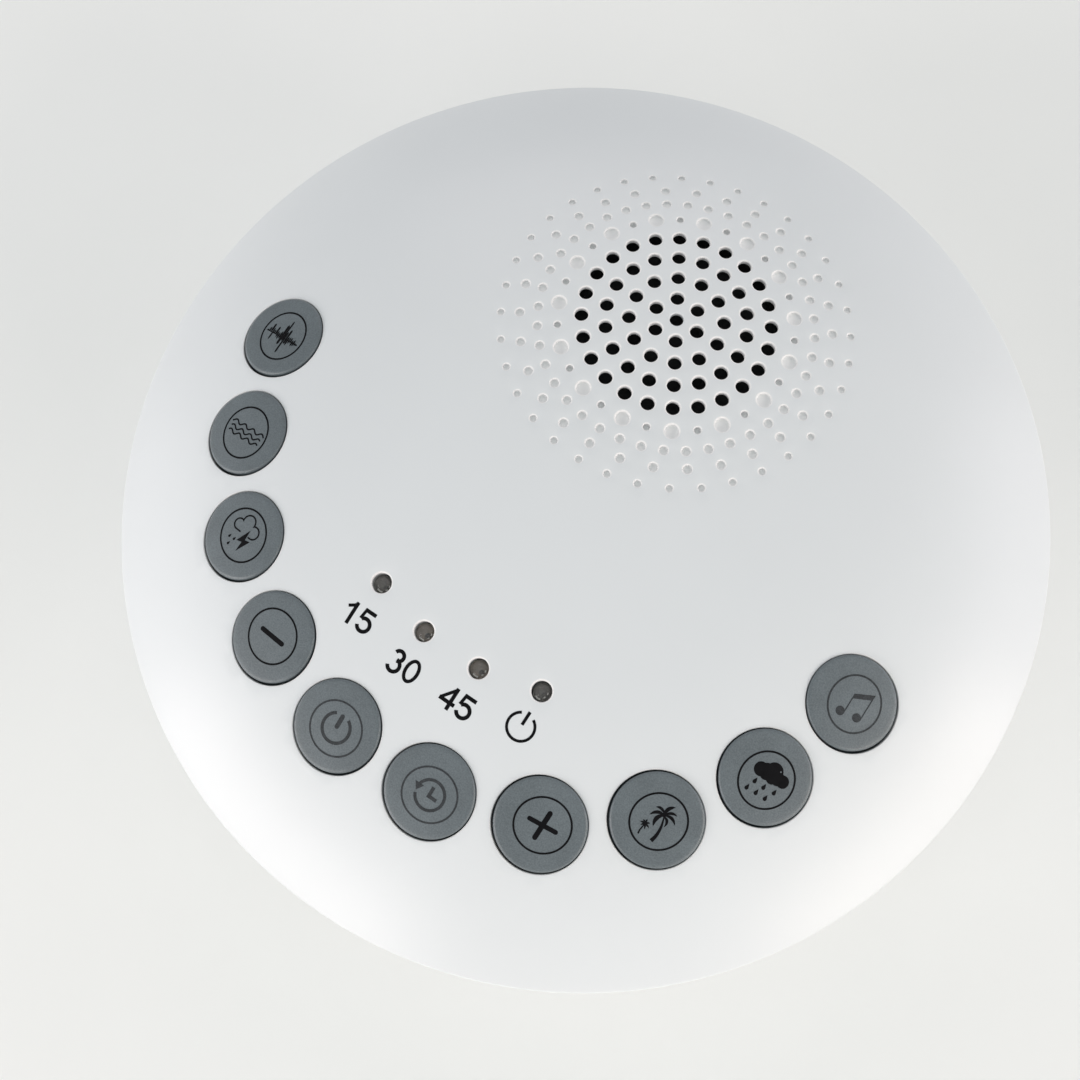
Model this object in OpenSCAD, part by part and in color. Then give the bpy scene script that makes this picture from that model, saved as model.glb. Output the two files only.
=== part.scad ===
// White noise sound machine: a round case with a domed cover, a moulded speaker grille,
// an arc of ten push buttons and four indicator lights. Units are millimetres.
// The frame is +Z up, +Y towards the grille at the back, origin on the table under the crown.

/* [Case] */
// Outside diameter of the cover at its rim
cover_d = 160; // [158:1:176]
// Height of the crown above the table
case_h = 54; // [53:0.5:62]
// Radius of the flat arc over the crown
crown_r = 260; // [230:5:320]
// Radius of the arc that turns the crown down to the rim
shoulder_r = 109; // [104:1:120]
// Distance from the centre at which the two arcs meet
crown_zone_r = 35; // [30:1:40]
// Wall of the domed cover
cover_wall = 2.2; // [1.8:0.1:2.6]
// Radius on the cover's rim
rim_round = 1; // [0.6:0.1:1.4]
// Height of the cover's straight skirt under its rim
skirt_h = 3; // [2.6:0.1:4]
// Wall of the lower shell
shell_wall = 2.2; // [1.8:0.1:2.6]
// Diameter of the flat underside
base_d = 124; // [122:1:130]
// How far the lower shell stays inside the cover's rim
rim_reveal = 0.5; // [0.2:0.1:1]
// Thickness of the locating tongue inside the seam
tongue_t = 1.2; // [0.8:0.1:1.6]
// Height of the locating tongue above the seam
tongue_h = 1.6; // [1:0.1:1.9]

/* [Grille] */
// Distance of the grille and the speaker behind the centre
grille_y = 30.5; // [29:0.5:31.5]
// Distance from one ring of open holes to the next
ring_pitch = 3.83; // [3.6:0.01:3.95]
// Diameter of the open holes
open_hole_d = 2.3; // [1.6:0.1:2.5]
// Diameter of the large blind dimples
large_dimple_d = 2.3; // [1.6:0.1:2.5]
// Diameter of the medium blind dimples
medium_dimple_d = 1.4; // [1:0.1:1.7]
// Diameter of the small blind dimples
small_dimple_d = 1.1; // [0.8:0.1:1.4]
// Radius of the first outer ring of dimples
outer_ring_1_r = 22.4; // [21.8:0.1:23]
// Radius of the second outer ring of dimples
outer_ring_2_r = 25.3; // [24.8:0.1:25.8]
// Radius of the third outer ring of dimples
outer_ring_3_r = 28.4; // [27.8:0.1:29]
// Depth of the blind dimples
dimple_depth = 0.5; // [0.3:0.1:0.9]
// Depth of the small dimples that lie next to the open holes
inner_dimple_depth = 1; // [0.5:0.1:1.2]
// Wall of the cover at the open holes
grille_wall = 1; // [0.8:0.1:1.6]
// How far that thin wall goes past the centres of the last open holes
grille_margin = 2.2; // [1.8:0.1:2.6]

/* [Buttons] */
// Radius of the arc on which the buttons lie
key_arc_r = 55.7; // [55:0.1:57]
// Distance of that arc's centre behind the cover's centre
key_arc_y = 2.1; // [1:0.1:3]
// Angle from one button to the next
key_pitch = 18.2; // [18:0.1:18.8]
// Diameter of the holes for the buttons
key_hole_d = 14.9; // [14.4:0.1:15.3]
// Gap all round each button
key_gap = 0.2; // [0.15:0.05:0.4]
// How far each button stands proud of the cover
key_proud = 0.4; // [0.2:0.1:0.8]
// Wall of the hollow buttons
key_wall = 1.4; // [1:0.1:1.8]
// Width of the flange that keeps a button in
key_flange_w = 1; // [0.7:0.1:1.1]
// Thickness of that flange
key_flange_t = 1.2; // [0.8:0.1:1.6]
// Gap between the flange and the underside of the cover
key_stop_gap = 0.3; // [0.2:0.05:0.4]
// Diameter of the stem that presses the switch
key_stem_d = 4; // [3:0.1:5]
// Height from the board to the cover's skin at the buttons
key_stack = 13.5; // [13:0.1:14]

/* [Switches] */
// Width of a switch body
switch_w = 6; // [5:0.1:7]
// Height of a switch body
switch_h = 3.6; // [3:0.1:3.8]
// Diameter of a switch plunger
plunger_d = 3.4; // [2.6:0.1:4]
// How far a plunger stands out of its body
plunger_out = 1.5; // [1.3:0.1:1.7]
// How far a plunger reaches into its body
plunger_in = 1; // [0.6:0.1:1.4]
// Free travel of the buttons
key_travel = 0.8; // [0.5:0.1:0.9]
// Clearance round the plungers
plunger_fit = 0.1; // [0.05:0.01:0.2]

/* [Indicator lights] */
// Radius of the arc on which the lights lie
led_arc_r = 41.3; // [40.5:0.1:42]
// Distance of that arc's centre behind the cover's centre
led_arc_y = 7.8; // [7:0.1:8.6]
// Angle from one light to the next
led_pitch = 14.2; // [12:0.1:16]
// Diameter of a light's lens
led_d = 3; // [2.6:0.1:3.4]
// Height of a light's lens above its collar
led_h = 4.2; // [3.6:0.1:5]
// Diameter of the collar under the lens
led_collar_d = 3.8; // [3.6:0.1:4.2]
// Thickness of that collar
led_collar_t = 1; // [0.8:0.1:1.2]
// How far the top of a lens lies below the cover's skin
led_sink = 0.35; // [0.1:0.05:0.6]
// Gap round a lens in its hole
led_gap = 0.12; // [0.08:0.01:0.2]
// Width of the square leads
lead_w = 0.5; // [0.4:0.05:0.6]
// Distance between the two leads
lead_pitch = 1.6; // [1.4:0.1:1.8]

/* [Circuit board] */
// Distance of the board's round edge inside the cover's rim
board_inset = 7.5; // [6.5:0.5:8.5]
// Place of the board's straight back edge behind the centre
board_back_y = 3; // [2:0.5:3.5]
// Thickness of the board
board_t = 1.6; // [1:0.1:2]
// Radius of the bay cut into the straight edge
board_bay_r = 22; // [18:1:24]
// Distance of the outer board posts outside the arc of the buttons
post_out = 7; // [6.8:0.1:7.4]
// Sideways place of the inner board posts
inner_post_x = 30; // [28:0.5:32]
// Place of the inner board posts along the depth
inner_post_y = -2.5; // [-4:0.5:-2]
// Diameter of the board posts
post_d = 5; // [4.6:0.1:5.2]

/* [Speaker] */
// Outside diameter of the speaker
speaker_d = 50; // [48:0.5:51]
// Height of the speaker's seat above the board
seat_rise = 9.3; // [9:0.1:9.8]
// Width of the speaker's mounting flange
basket_rim_w = 3.4; // [3:0.1:4]
// Sheet thickness of the basket
basket_t = 0.8; // [0.6:0.1:1]
// Depth of the basket under its flange
basket_h = 10.5; // [10:0.1:11]
// Diameter of the basket's back
basket_back_d = 27; // [26:0.5:28]
// Thickness of the foam gasket
gasket_t = 0.8; // [0.6:0.1:1.2]
// Wall of the seat ring under the cover
seat_wall = 1.8; // [1.4:0.1:2.2]
// Thickness of the paper cone
cone_t = 0.5; // [0.4:0.05:0.7]
// Diameter of the voice coil
coil_d = 13; // [12:0.5:14]
// Wall of the voice coil
coil_wall = 0.5; // [0.4:0.05:0.7]
// Running gap on each side of the voice coil
coil_gap = 0.35; // [0.3:0.05:0.5]
// Free stroke of the cone each way
cone_stroke = 0.6; // [0.4:0.1:0.8]
// Diameter of the ring magnet
magnet_d = 32; // [30:0.5:33]
// Thickness of the ring magnet
magnet_t = 5; // [4:0.1:5.5]
// Thickness of the steel plates on the magnet
pole_t = 1.5; // [1.2:0.1:1.8]

/* [Battery bay] */
// Diameter of one cell
cell_d = 14.5; // [13.5:0.1:14.8]
// Length of one cell
cell_l = 50.5; // [44:0.5:51]
// Number of cells side by side
cell_count = 3; // [2:1:3]
// Clearance between cells and round them
cell_clear = 0.4; // [0.2:0.05:0.5]
// Room for the contacts at both ends together
contact_room = 5.5; // [5:0.1:6.5]
// Centre of the bay in front of the case's centre
bay_y = -16.5; // [-18:0.5:-16]
// Wall of the bay
bay_wall = 1.6; // [1.2:0.1:1.8]
// Thickness of the battery door
door_t = 2; // [1.6:0.1:2.2]
// Gap round the battery door
door_gap = 0.3; // [0.25:0.05:0.5]
// Width of the ledge that the door lies on
door_ledge = 3.4; // [3.2:0.1:4]
// Radius of the door's hinge knuckles
knuckle_r = 1.9; // [1.7:0.1:2]
// Radius of the hinge pins
hinge_pin_r = 0.9; // [0.7:0.1:1]
// Running clearance round the hinge pins
pin_fit = 0.08; // [0.05:0.01:0.1]
// Length of each hinge knuckle
knuckle_l = 8; // [6:0.5:10]
// Sideways place of each hinge knuckle's centre
knuckle_x = 15; // [12:0.5:15.5]
// Length of each hinge pin beyond its knuckle
hinge_pin_l = 2.2; // [1.6:0.1:3]
// Width of the latch tongue
latch_w = 14; // [10:0.5:18]
// Thickness of the latch tongue
latch_t = 1.2; // [1:0.1:1.4]
// Height of the latch tongue above the door
latch_h = 6; // [5:0.1:7]
// Room in front of the latch tongue for a fingernail
latch_room = 2.6; // [2.4:0.1:3]
// How far the latch's nub stands out
latch_nub = 0.5; // [0.4:0.1:0.6]
// Width of the finger grooves in the door
grip_w = 1.1; // [0.8:0.1:1.4]
// Distance from one groove to the next
grip_pitch = 2.4; // [2:0.1:3]
// Depth of the grooves
grip_depth = 0.5; // [0.3:0.1:0.8]
// Wire diameter of the contact springs
spring_wire = 0.8; // [0.6:0.1:1]
// Free length of the contact springs
spring_len = 4.6; // [4:0.1:5]
// Radius of a contact spring at its plate
spring_r = 4.4; // [4:0.1:4.8]
// Radius of a contact spring at its tip
spring_tip_r = 2.4; // [2:0.1:3]
// Thickness of the contact plates
contact_t = 0.4; // [0.3:0.05:0.6]
// Width of the contact plates
contact_w = 10.5; // [9:0.5:12]

/* [Fastenings and feet] */
// Distance between the front case screws
front_screw_span = 68; // [66:1:72]
// Place of the front case screws in front of the centre
front_screw_y = -17; // [-18:0.5:-15]
// Distance between the rear case screws
rear_screw_span = 84; // [80:1:88]
// Place of the rear case screws behind the centre
rear_screw_y = 34; // [32:0.5:36]
// Diameter of the screw bosses under the cover
boss_d = 7; // [6.4:0.1:7.4]
// Height at which the bosses meet the posts of the lower shell
boss_low_z = 16; // [15:0.5:17]
// Diameter of the screw shanks
screw_d = 2.5; // [2.2:0.1:2.8]
// Diameter of the screw heads
head_d = 5.4; // [5:0.1:5.8]
// Height of the screw heads
head_h = 1.8; // [1.4:0.1:2.2]
// Length of the case screws under the head
case_screw_l = 12; // [10:0.5:14]
// Diameter of the small screws' shanks
small_screw_d = 2; // [1.8:0.1:2.2]
// Diameter of the small screws' heads
small_head_d = 4; // [3.6:0.1:4.4]
// Height of the small screws' heads
small_head_h = 1.4; // [1:0.1:1.6]
// Length of the small screws under the head
small_screw_l = 6; // [5:0.5:6.5]
// Clearance round the screws
screw_fit = 0.1; // [0.05:0.01:0.2]
// Diameter of the rubber feet
foot_d = 11; // [9:0.5:12]
// Height of the feet below the underside
foot_h = 2.5; // [2:0.1:3]
// Depth of the recesses that hold the feet
foot_recess = 0.8; // [0.6:0.1:1.1]
// Distance of the feet's centres inside the edge of the underside
foot_inset = 8; // [7:0.5:9]

/* [Power socket] */
// Height of the socket's axis above the table
jack_z = 14; // [13.5:0.5:15]
// Width of the socket's body
jack_w = 9; // [8:0.5:10]
// Length of the socket's body
jack_l = 13; // [11:0.5:14]
// Diameter of the socket's nose
jack_nose_d = 8; // [7.5:0.1:8.4]
// Diameter of the hole that takes the plug
jack_bore_d = 5.7; // [5.6:0.05:6]
// Diameter of the pin in that hole
jack_pin_d = 2; // [1.6:0.1:2.5]
// Depth of the hole that takes the plug
jack_depth = 9.5; // [9:0.1:10.5]
// Distance of the pocket's floor inside the cover's rim
pocket_inset = 14; // [13:0.5:15]
// Width of the pocket
pocket_w = 15; // [14:0.5:17]
// Height of the pocket
pocket_h = 13; // [12:0.5:13.5]
// Wall of the pocket
pocket_wall = 1.6; // [1.2:0.1:2]

/* [Components under the board] */
// Length of the sound chip
chip_l = 10; // [8:0.5:12]
// Width of the sound chip
chip_w = 6; // [4:0.5:7]
// Thickness of the sound chip
chip_t = 1.6; // [1.2:0.1:2]
// Place of the chip in front of the centre
chip_y = -39; // [-42:1:-36]
// Diameter of the capacitors
cap_d = 6.3; // [5:0.1:8]
// Clearance between the capacitors and the battery bay
cap_clear = 3.3; // [2.5:0.1:5]
// Sideways place of the capacitors
cap_x = 14; // [12:1:18]
// Width of a wire header
header_w = 8; // [6:0.5:9]
// Depth and height of a wire header
header_h = 5; // [4:0.5:6]
// Back face of the speaker's header in front of the centre
speaker_header_y = -22; // [-24:0.5:-21]
// Sideways place of the battery's header
battery_header_x = -28; // [-28.5:0.5:-27.5]
// Back face of the battery's header in front of the centre
battery_header_y = -7; // [-7.5:0.5:-6.5]
// Sideways place of the socket's header
jack_header_x = 46; // [44:1:48]
// Back face of the socket's header in front of the centre
jack_header_y = -9.5; // [-11:0.5:-9]

/* [Wires and terminals] */
// Diameter of the wires
wire_d = 1.2; // [0.9:0.1:1.4]
// Distance between the two wires of a pair
wire_pitch = 2.4; // [2:0.1:3]
// Length of the speaker's terminal strip
strip_l = 11; // [9:0.5:13]
// Width of that strip
strip_w = 2.2; // [1.8:0.1:2.4]
// Thickness of that strip
strip_t = 1.2; // [0.8:0.1:1.6]
// Sideways place of the two solder lugs
lug_x = 3; // [2.5:0.5:4]
// Width of a lug
lug_w = 1.6; // [1.4:0.1:2]
// Length of a lug below the strip
lug_l = 3.5; // [3:0.5:5]
// Width of the solder tabs on the contact plates
tab_w = 3; // [2:0.5:4]
// Height of the solder tabs above the bay
tab_h = 3; // [2:0.5:4]

/* [Hidden] */
KEYS = [
    "white_noise", "ocean", "thunder", "volume_down", "power",
    "timer", "volume_up", "palms", "rain", "lullaby"
];
LEDS = ["15", "30", "45", "power"];

// Facets on small round things and on the case itself
$fn = 32;
case_fn = 180;
// A cutter runs this far past the face that it cuts
over = 1;

// The cover's outline: a crown arc and a shoulder arc that meet without an edge
cover_r = cover_d / 2;
base_z = foot_h;
base_r = base_d / 2;
shoulder_share = 1 - shoulder_r / crown_r;
crown_rise = sqrt(pow(crown_r, 2) - pow(crown_zone_r, 2));
crown_z = case_h - crown_r;
shoulder_x = crown_zone_r * shoulder_share;
shoulder_z = crown_z + crown_rise * shoulder_share;
rim_x = cover_r - rim_round;
rim_reach = shoulder_r - rim_round;
rim_z = shoulder_z + sqrt(pow(rim_reach, 2) - pow(rim_x - shoulder_x, 2));
seam_z = rim_z - skirt_h;
// Directions from the shoulder's centre to the two ends of its arc
crown_dir = [crown_zone_r, crown_rise] / crown_r;
rim_dir = [rim_x - shoulder_x, rim_z - shoulder_z] / rim_reach;
// Points well outside the skin on those two lines
arc_margin = 6;
crown_far = [shoulder_x, shoulder_z] + crown_dir * (shoulder_r + 2 * arc_margin);
rim_far = [shoulder_x, shoulder_z] + rim_dir * (shoulder_r + 8 * arc_margin);

// Height of the skin, moved outwards by skin, at a distance r from the centre
function skin_z(r, skin = 0) =
    r < crown_zone_r * (crown_r + skin) / crown_r
        ? crown_z + sqrt(pow(crown_r + skin, 2) - r * r)
        : shoulder_z + sqrt(pow(shoulder_r + skin, 2) - pow(r - shoulder_x, 2));
// Inside reach of the cover at a height: its upright wall, or the dome where that is narrower
function inner_reach(z) = min(cover_r - cover_wall,
    shoulder_x + sqrt(pow(shoulder_r - cover_wall, 2) - pow(z - shoulder_z, 2)));
// Where the two lines cross a height
function crown_line(z) = shoulder_x + (z - shoulder_z) * crown_dir[0] / crown_dir[1];
function rim_line(z) = shoulder_x + (z - shoulder_z) * rim_dir[0] / rim_dir[1];

// The lower shell's side is one arc from the seam to the flat underside
shell_r = cover_r - rim_reveal;
side_in = shell_r - base_r;
side_h = seam_z - base_z;
side_r = (pow(side_in, 2) + pow(side_h, 2)) / (2 * side_in);
side_x = shell_r - side_r;
floor_z = base_z + shell_wall;
rim_clear = 0.2;
tongue_r = cover_r - cover_wall - rim_clear;

// Buttons
key_r = key_hole_d / 2 - key_gap;
key_flange_r = key_r + key_flange_w;
key_low = cover_wall + key_stop_gap + key_flange_t;
board_z = skin_z(key_arc_r) - key_stack;
plunger_z = board_z + switch_h + plunger_out;
function key_angle(i) = -90 + key_pitch * (i - (len(KEYS) - 1) / 2);
function key_place(i) =
    [key_arc_r * cos(key_angle(i)), key_arc_y + key_arc_r * sin(key_angle(i))];

// Indicator lights
function led_angle(i) = -90 + led_pitch * (i - (len(LEDS) - 1) / 2);
function led_place(i) =
    [led_arc_r * cos(led_angle(i)), led_arc_y + led_arc_r * sin(led_angle(i))];
function led_top(i) = skin_z(norm(led_place(i))) - led_sink;
function led_low(i) = led_top(i) - led_h - led_collar_t;
led_hole_d = led_d + 2 * led_gap;
spacer_d = led_collar_d;
spacer_bore = 2 * lead_pitch - led_gap;

// Board posts and screws. The outer posts stand between the third and fourth buttons each side.
board_r = inner_reach(board_z) + cover_wall - board_inset;
post_arc_r = key_arc_r + post_out;
post_places = [
    [post_arc_r * sin(key_pitch), key_arc_y - post_arc_r * cos(key_pitch)],
    [-post_arc_r * sin(key_pitch), key_arc_y - post_arc_r * cos(key_pitch)],
    [inner_post_x, inner_post_y], [-inner_post_x, inner_post_y]
];
board_low = board_z - board_t;
pilot_d = screw_d + 2 * screw_fit;
small_pilot_d = small_screw_d + 2 * screw_fit;
case_places = [
    [front_screw_span / 2, front_screw_y], [-front_screw_span / 2, front_screw_y],
    [rear_screw_span / 2, rear_screw_y], [-rear_screw_span / 2, rear_screw_y]
];
board_hole_gap = 0.7;
// Deep bore that takes a case screw's head, and the wall round it
post_bore_r = head_d / 2 + 4 * screw_fit;
post_wall = 1.4;

// Speaker, from its seat downwards
speaker_r = speaker_d / 2;
seat_z = board_z + seat_rise;
gasket_low = seat_z - gasket_t;
flange_low = gasket_low - basket_t;
basket_low = flange_low - basket_h;
basket_in_r = speaker_r - basket_rim_w;
basket_back_r = basket_back_d / 2;
pole_top = basket_low;
magnet_top = pole_top - pole_t;
magnet_low = magnet_top - magnet_t;
yoke_low = magnet_low - pole_t;
coil_r = coil_d / 2;
coil_low = magnet_top - cone_stroke;
cone_rise = 3.4;
cone_low = basket_low + cone_rise;
cone_top = gasket_low - cone_t;
roll_r = 1.6;
lip_w = 1;
cone_out_r = basket_in_r - 2 * roll_r;
coil_lip = 1.2;
coil_top = cone_low + coil_lip;
speaker_screw_angles = [30, 150, 270];
speaker_screw_out = 2.4;
washer_d = 7;
washer_t = 0.8;
speaker_boss_d = 5;

// Battery bay
bay_w = cell_count * cell_d + (cell_count + 1) * cell_clear;
bay_l = cell_l + contact_room;
bay_front = bay_y - bay_l / 2;
bay_back = bay_y + bay_l / 2;
door_top = base_z + door_t;
ledge_z = door_top + door_gap;
bay_top = ledge_z + cell_d + cell_clear;
tray_w = bay_w + 2 * door_ledge;
door_w = tray_w - 2 * door_gap;
tray_front = bay_front - door_ledge;
hinge_y = bay_back + bay_wall + knuckle_r + door_gap;
hinge_z = base_z + knuckle_r;
knuckle_gap = 0.4;
// The shell's lip and the door's edge roll round the hinge axis at these radii
lip_r = knuckle_r + 0.7;
door_edge_r = lip_r + door_gap;
latch_y = tray_front + door_gap;
latch_front = tray_front - latch_room;
latch_top = door_top + latch_h;
nub_z = latch_top - 2 * latch_t;
tray_block = ledge_z + bay_wall;
cell_pitch = cell_d + cell_clear;
// Turns of a contact spring, steps in each turn and sides of its wire
spring_turns = 4;
spring_steps = 12;
spring_sides = 6;

// Feet
foot_chamfer = 1;
foot_arc_r = base_r - foot_inset;
foot_places = [for (a = [-33, -147, 60, 120]) [foot_arc_r * cos(a), foot_arc_r * sin(a)]];

// Power socket
pocket_y = cover_r - pocket_inset;
jack_back_y = pocket_y - pocket_wall;
jack_fit = 0.15;

// Components and wires
cap_h = board_low - bay_top - bay_wall - cap_clear;
header_places = [
    [0, speaker_header_y], [battery_header_x, battery_header_y], [jack_header_x, jack_header_y]
];
wire_z = board_low - header_h / 2;
strip_y = grille_y - speaker_r + 2 * door_gap;
lug_t = contact_t;
lug_y = strip_y + strip_w / 2;
lug_z = flange_low - strip_t - lug_l + wire_d;
tab_room = 0.2;
tab_z = bay_top + bay_wall + wire_d;
// The first and the last cell have a plate with a tab: [cell, whether it is at the front]
tab_ends = [[0, true], [cell_count - 1, cell_count % 2 == 0]];
wire_steps = 16;
wire_sides = 8;

// Rings of the grille: [radius, number of places, turn of the first place]
open_ring_n = 4;
open_rings = [for (n = [1:open_ring_n]) [n * ring_pitch, 6 * n, 0]];
fifth_ring_r = 5 * ring_pitch;
fifth_ring_n = 30;
outer_rings = [
    [outer_ring_1_r, 40, 0, medium_dimple_d],
    [outer_ring_2_r, 30, 0.5, medium_dimple_d],
    [outer_ring_3_r, 36, 0, small_dimple_d]
];
hole_fn = 20;

// ---- Shared shapes ----

// Faces of a bent bar whose rings of points have this many sides, with n + 1 rings
function bar_faces(n, sides) = concat(
    [
        for (k = [0:n - 1], s = [0:sides - 1])
            let (a = k * sides + s, b = k * sides + (s + 1) % sides) [a, b, b + sides, a + sides]
    ],
    [[for (s = [0:sides - 1]) sides - 1 - s], [for (s = [0:sides - 1]) n * sides + s]]
);

module at_places(places) {
    for (p = places) translate(p) children();
}

module tube(r_out, r_in, h) {
    difference() {
        cylinder(r = r_out, h = h);
        translate([0, 0, -over]) cylinder(r = r_in, h = h + 2 * over);
    }
}

// Half profile of everything under the skin, moved outwards by skin, down to low
module dome_area(skin, low) {
    intersection() {
        translate([0, low]) square([cover_r, case_h + arc_margin - low]);
        translate([0, crown_z]) circle(crown_r + skin, $fn = 4 * case_fn);
        union() {
            translate([shoulder_x, shoulder_z]) circle(shoulder_r + skin, $fn = 2 * case_fn);
            polygon([[-over, low - over], [-over, case_h + 2 * arc_margin], crown_far,
                [crown_line(low - over), low - over]]);
        }
    }
}

// Half profile of the cover's outside with its round rim and straight skirt
module cover_area() {
    intersection() {
        dome_area(0, seam_z);
        polygon([[-over, 0], [-over, case_h + 2 * arc_margin], rim_far, [rim_line(0), 0]]);
    }
    translate([rim_x, rim_z]) circle(rim_round);
    translate([0, seam_z]) square([cover_r, rim_z - seam_z]);
}

// Solid under the skin, moved outwards by skin
module dome_solid(skin, low = 0) {
    rotate_extrude($fn = case_fn) dome_area(skin, low);
}

// Upright cylinder at button i
module key_column(i, radius, low = seam_z) {
    translate(key_place(i)) translate([0, 0, low]) cylinder(r = radius, h = case_h - low + over);
}

// Screw with a flat head below z = 0 and a shank above it
module screw(d, l, cap_d, cap_h) {
    slot_w = d / 4;
    difference() {
        union() {
            translate([0, 0, -cap_h]) cylinder(d = cap_d, h = cap_h);
            cylinder(d = d, h = l);
        }
        for (turn = [0, 90]) rotate(turn)
            translate([-cap_d / 3, -slot_w / 2, -cap_h - over])
                cube([cap_d * 2 / 3, slot_w, over + cap_h / 2]);
    }
}

// ---- Case ----

module cover_skin() {
    rotate_extrude($fn = case_fn) difference() {
        cover_area();
        intersection() {
            dome_area(-cover_wall, seam_z - over);
            translate([0, seam_z - over]) square([cover_r - cover_wall, case_h]);
        }
    }
}

module open_hole(d) {
    translate([0, 0, seam_z]) cylinder(d = d, h = case_h - seam_z + over, $fn = hole_fn);
}

// Room under the cover that leaves its thin wall at the open holes
module grille_recess() {
    intersection() {
        dome_solid(-grille_wall, seat_z);
        translate([0, grille_y, seat_z])
            cylinder(r = open_ring_n * ring_pitch + grille_margin, h = case_h - seat_z);
    }
}

module grille_openings() {
    open_hole(open_hole_d);
    for (ring = open_rings, k = [0:ring[1] - 1])
        rotate(k * 360 / ring[1]) translate([ring[0], 0]) open_hole(open_hole_d);
}

// Blind hole with its floor this deep under the skin, at a radius and a turn round the grille
module dimple(radius, turn, d, deep = dimple_depth) {
    spot = [radius * cos(turn), grille_y + radius * sin(turn)];
    translate(spot) translate([0, 0, skin_z(norm(spot)) - deep])
        cylinder(d = d, h = case_h, $fn = hole_fn);
}

module grille_dimples() {
    for (k = [0:2:fifth_ring_n - 2]) {
        dimple(fifth_ring_r, k * 360 / fifth_ring_n, small_dimple_d, inner_dimple_depth);
        dimple(fifth_ring_r, (k + 1) * 360 / fifth_ring_n, large_dimple_d);
    }
    for (ring = outer_rings, k = [0:ring[1] - 1])
        dimple(ring[0], (k + ring[2]) * 360 / ring[1], ring[3]);
}

module speaker_bosses(d, low, h) {
    for (a = speaker_screw_angles)
        translate([0, grille_y]) rotate(a)
            translate([speaker_r + speaker_screw_out, 0, low]) cylinder(d = d, h = h);
}

module cover_bosses() {
    intersection() {
        dome_solid(-cover_wall / 2, boss_low_z - over);
        union() {
            at_places(case_places) translate([0, 0, boss_low_z])
                cylinder(d = boss_d, h = case_h - boss_low_z);
            at_places(post_places) translate([0, 0, board_z])
                cylinder(d = post_d, h = case_h - board_z);
            translate([0, grille_y, seat_z])
                tube(speaker_r, speaker_r - seat_wall, case_h - seat_z);
            speaker_bosses(speaker_boss_d, flange_low, case_h - flange_low);
        }
    }
}

module cover_pilots() {
    at_places(case_places) translate([0, 0, boss_low_z - over])
        cylinder(d = pilot_d, h = case_screw_l + over);
    at_places(post_places) translate([0, 0, board_z - over])
        cylinder(d = small_pilot_d, h = small_screw_l - board_t + over);
    speaker_bosses(small_pilot_d, flange_low - over, small_screw_l + over - washer_t);
    translate([0, grille_y, flange_low - over])
        cylinder(r = speaker_r + rim_clear, h = seat_z - flange_low + over);
}

module top_cover() {
    color("whitesmoke") difference() {
        union() {
            cover_skin();
            cover_bosses();
        }
        cover_pilots();
        grille_recess();
        translate([0, grille_y]) grille_openings();
        grille_dimples();
        for (i = [0:len(KEYS) - 1]) key_column(i, key_hole_d / 2);
        for (i = [0:len(LEDS) - 1]) translate(led_place(i)) open_hole(led_hole_d);
    }
}

module bowl_area(wall) {
    intersection() {
        translate([0, base_z + wall]) square([shell_r, seam_z - base_z]);
        union() {
            translate([0, base_z]) square([side_x, side_h + over]);
            translate([side_x, seam_z]) circle(side_r - wall, $fn = case_fn);
        }
    }
}

module bowl_wall() {
    rotate_extrude($fn = case_fn) {
        difference() {
            intersection() {
                bowl_area(0);
                square([shell_r, seam_z]);
            }
            bowl_area(shell_wall);
        }
        translate([tongue_r - tongue_t, seam_z - tongue_h]) square([tongue_t, 2 * tongue_h]);
    }
}

// Block centred on x = 0 between two depths and two heights
module block(w, y0, y1, z0, z1) {
    translate([-w / 2, y0, z0]) cube([w, y1 - y0, z1 - z0]);
}

module bay_blocks() {
    block(bay_w + 2 * bay_wall, bay_front - bay_wall, bay_back + bay_wall, base_z, bay_top + bay_wall);
    block(tray_w + 2 * bay_wall, latch_front - bay_wall, bay_back + bay_wall, base_z, tray_block);
    block(latch_w + 2 * door_ledge, latch_front - bay_wall, bay_front, base_z,
        latch_top + door_gap + bay_wall);
    block(tray_w + 2 * bay_wall, bay_back, hinge_y + knuckle_r + 2 * bay_wall, base_z, tray_block);
}

// Cylinder of the case's full width on the hinge axis
module hinge_roll(radius, w) {
    translate([0, hinge_y, hinge_z]) rotate([0, 90, 0]) cylinder(r = radius, h = w, center = true);
}

module knuckle_rooms() {
    for (side = [-1, 1]) {
        translate([side * knuckle_x, hinge_y, hinge_z]) rotate([0, 90, 0])
            cylinder(r = knuckle_r + door_gap, h = knuckle_l + 2 * knuckle_gap, center = true);
        translate([side * knuckle_x, 0, 0])
            block(knuckle_l + 2 * knuckle_gap, bay_back, hinge_y + knuckle_r + door_gap,
                base_z - over, ledge_z);
        translate([side * knuckle_x, hinge_y, hinge_z]) rotate([0, 90, 0])
            cylinder(r = hinge_pin_r + pin_fit, h = knuckle_l + 2 * hinge_pin_l + 2 * knuckle_gap,
                center = true);
    }
}

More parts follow.
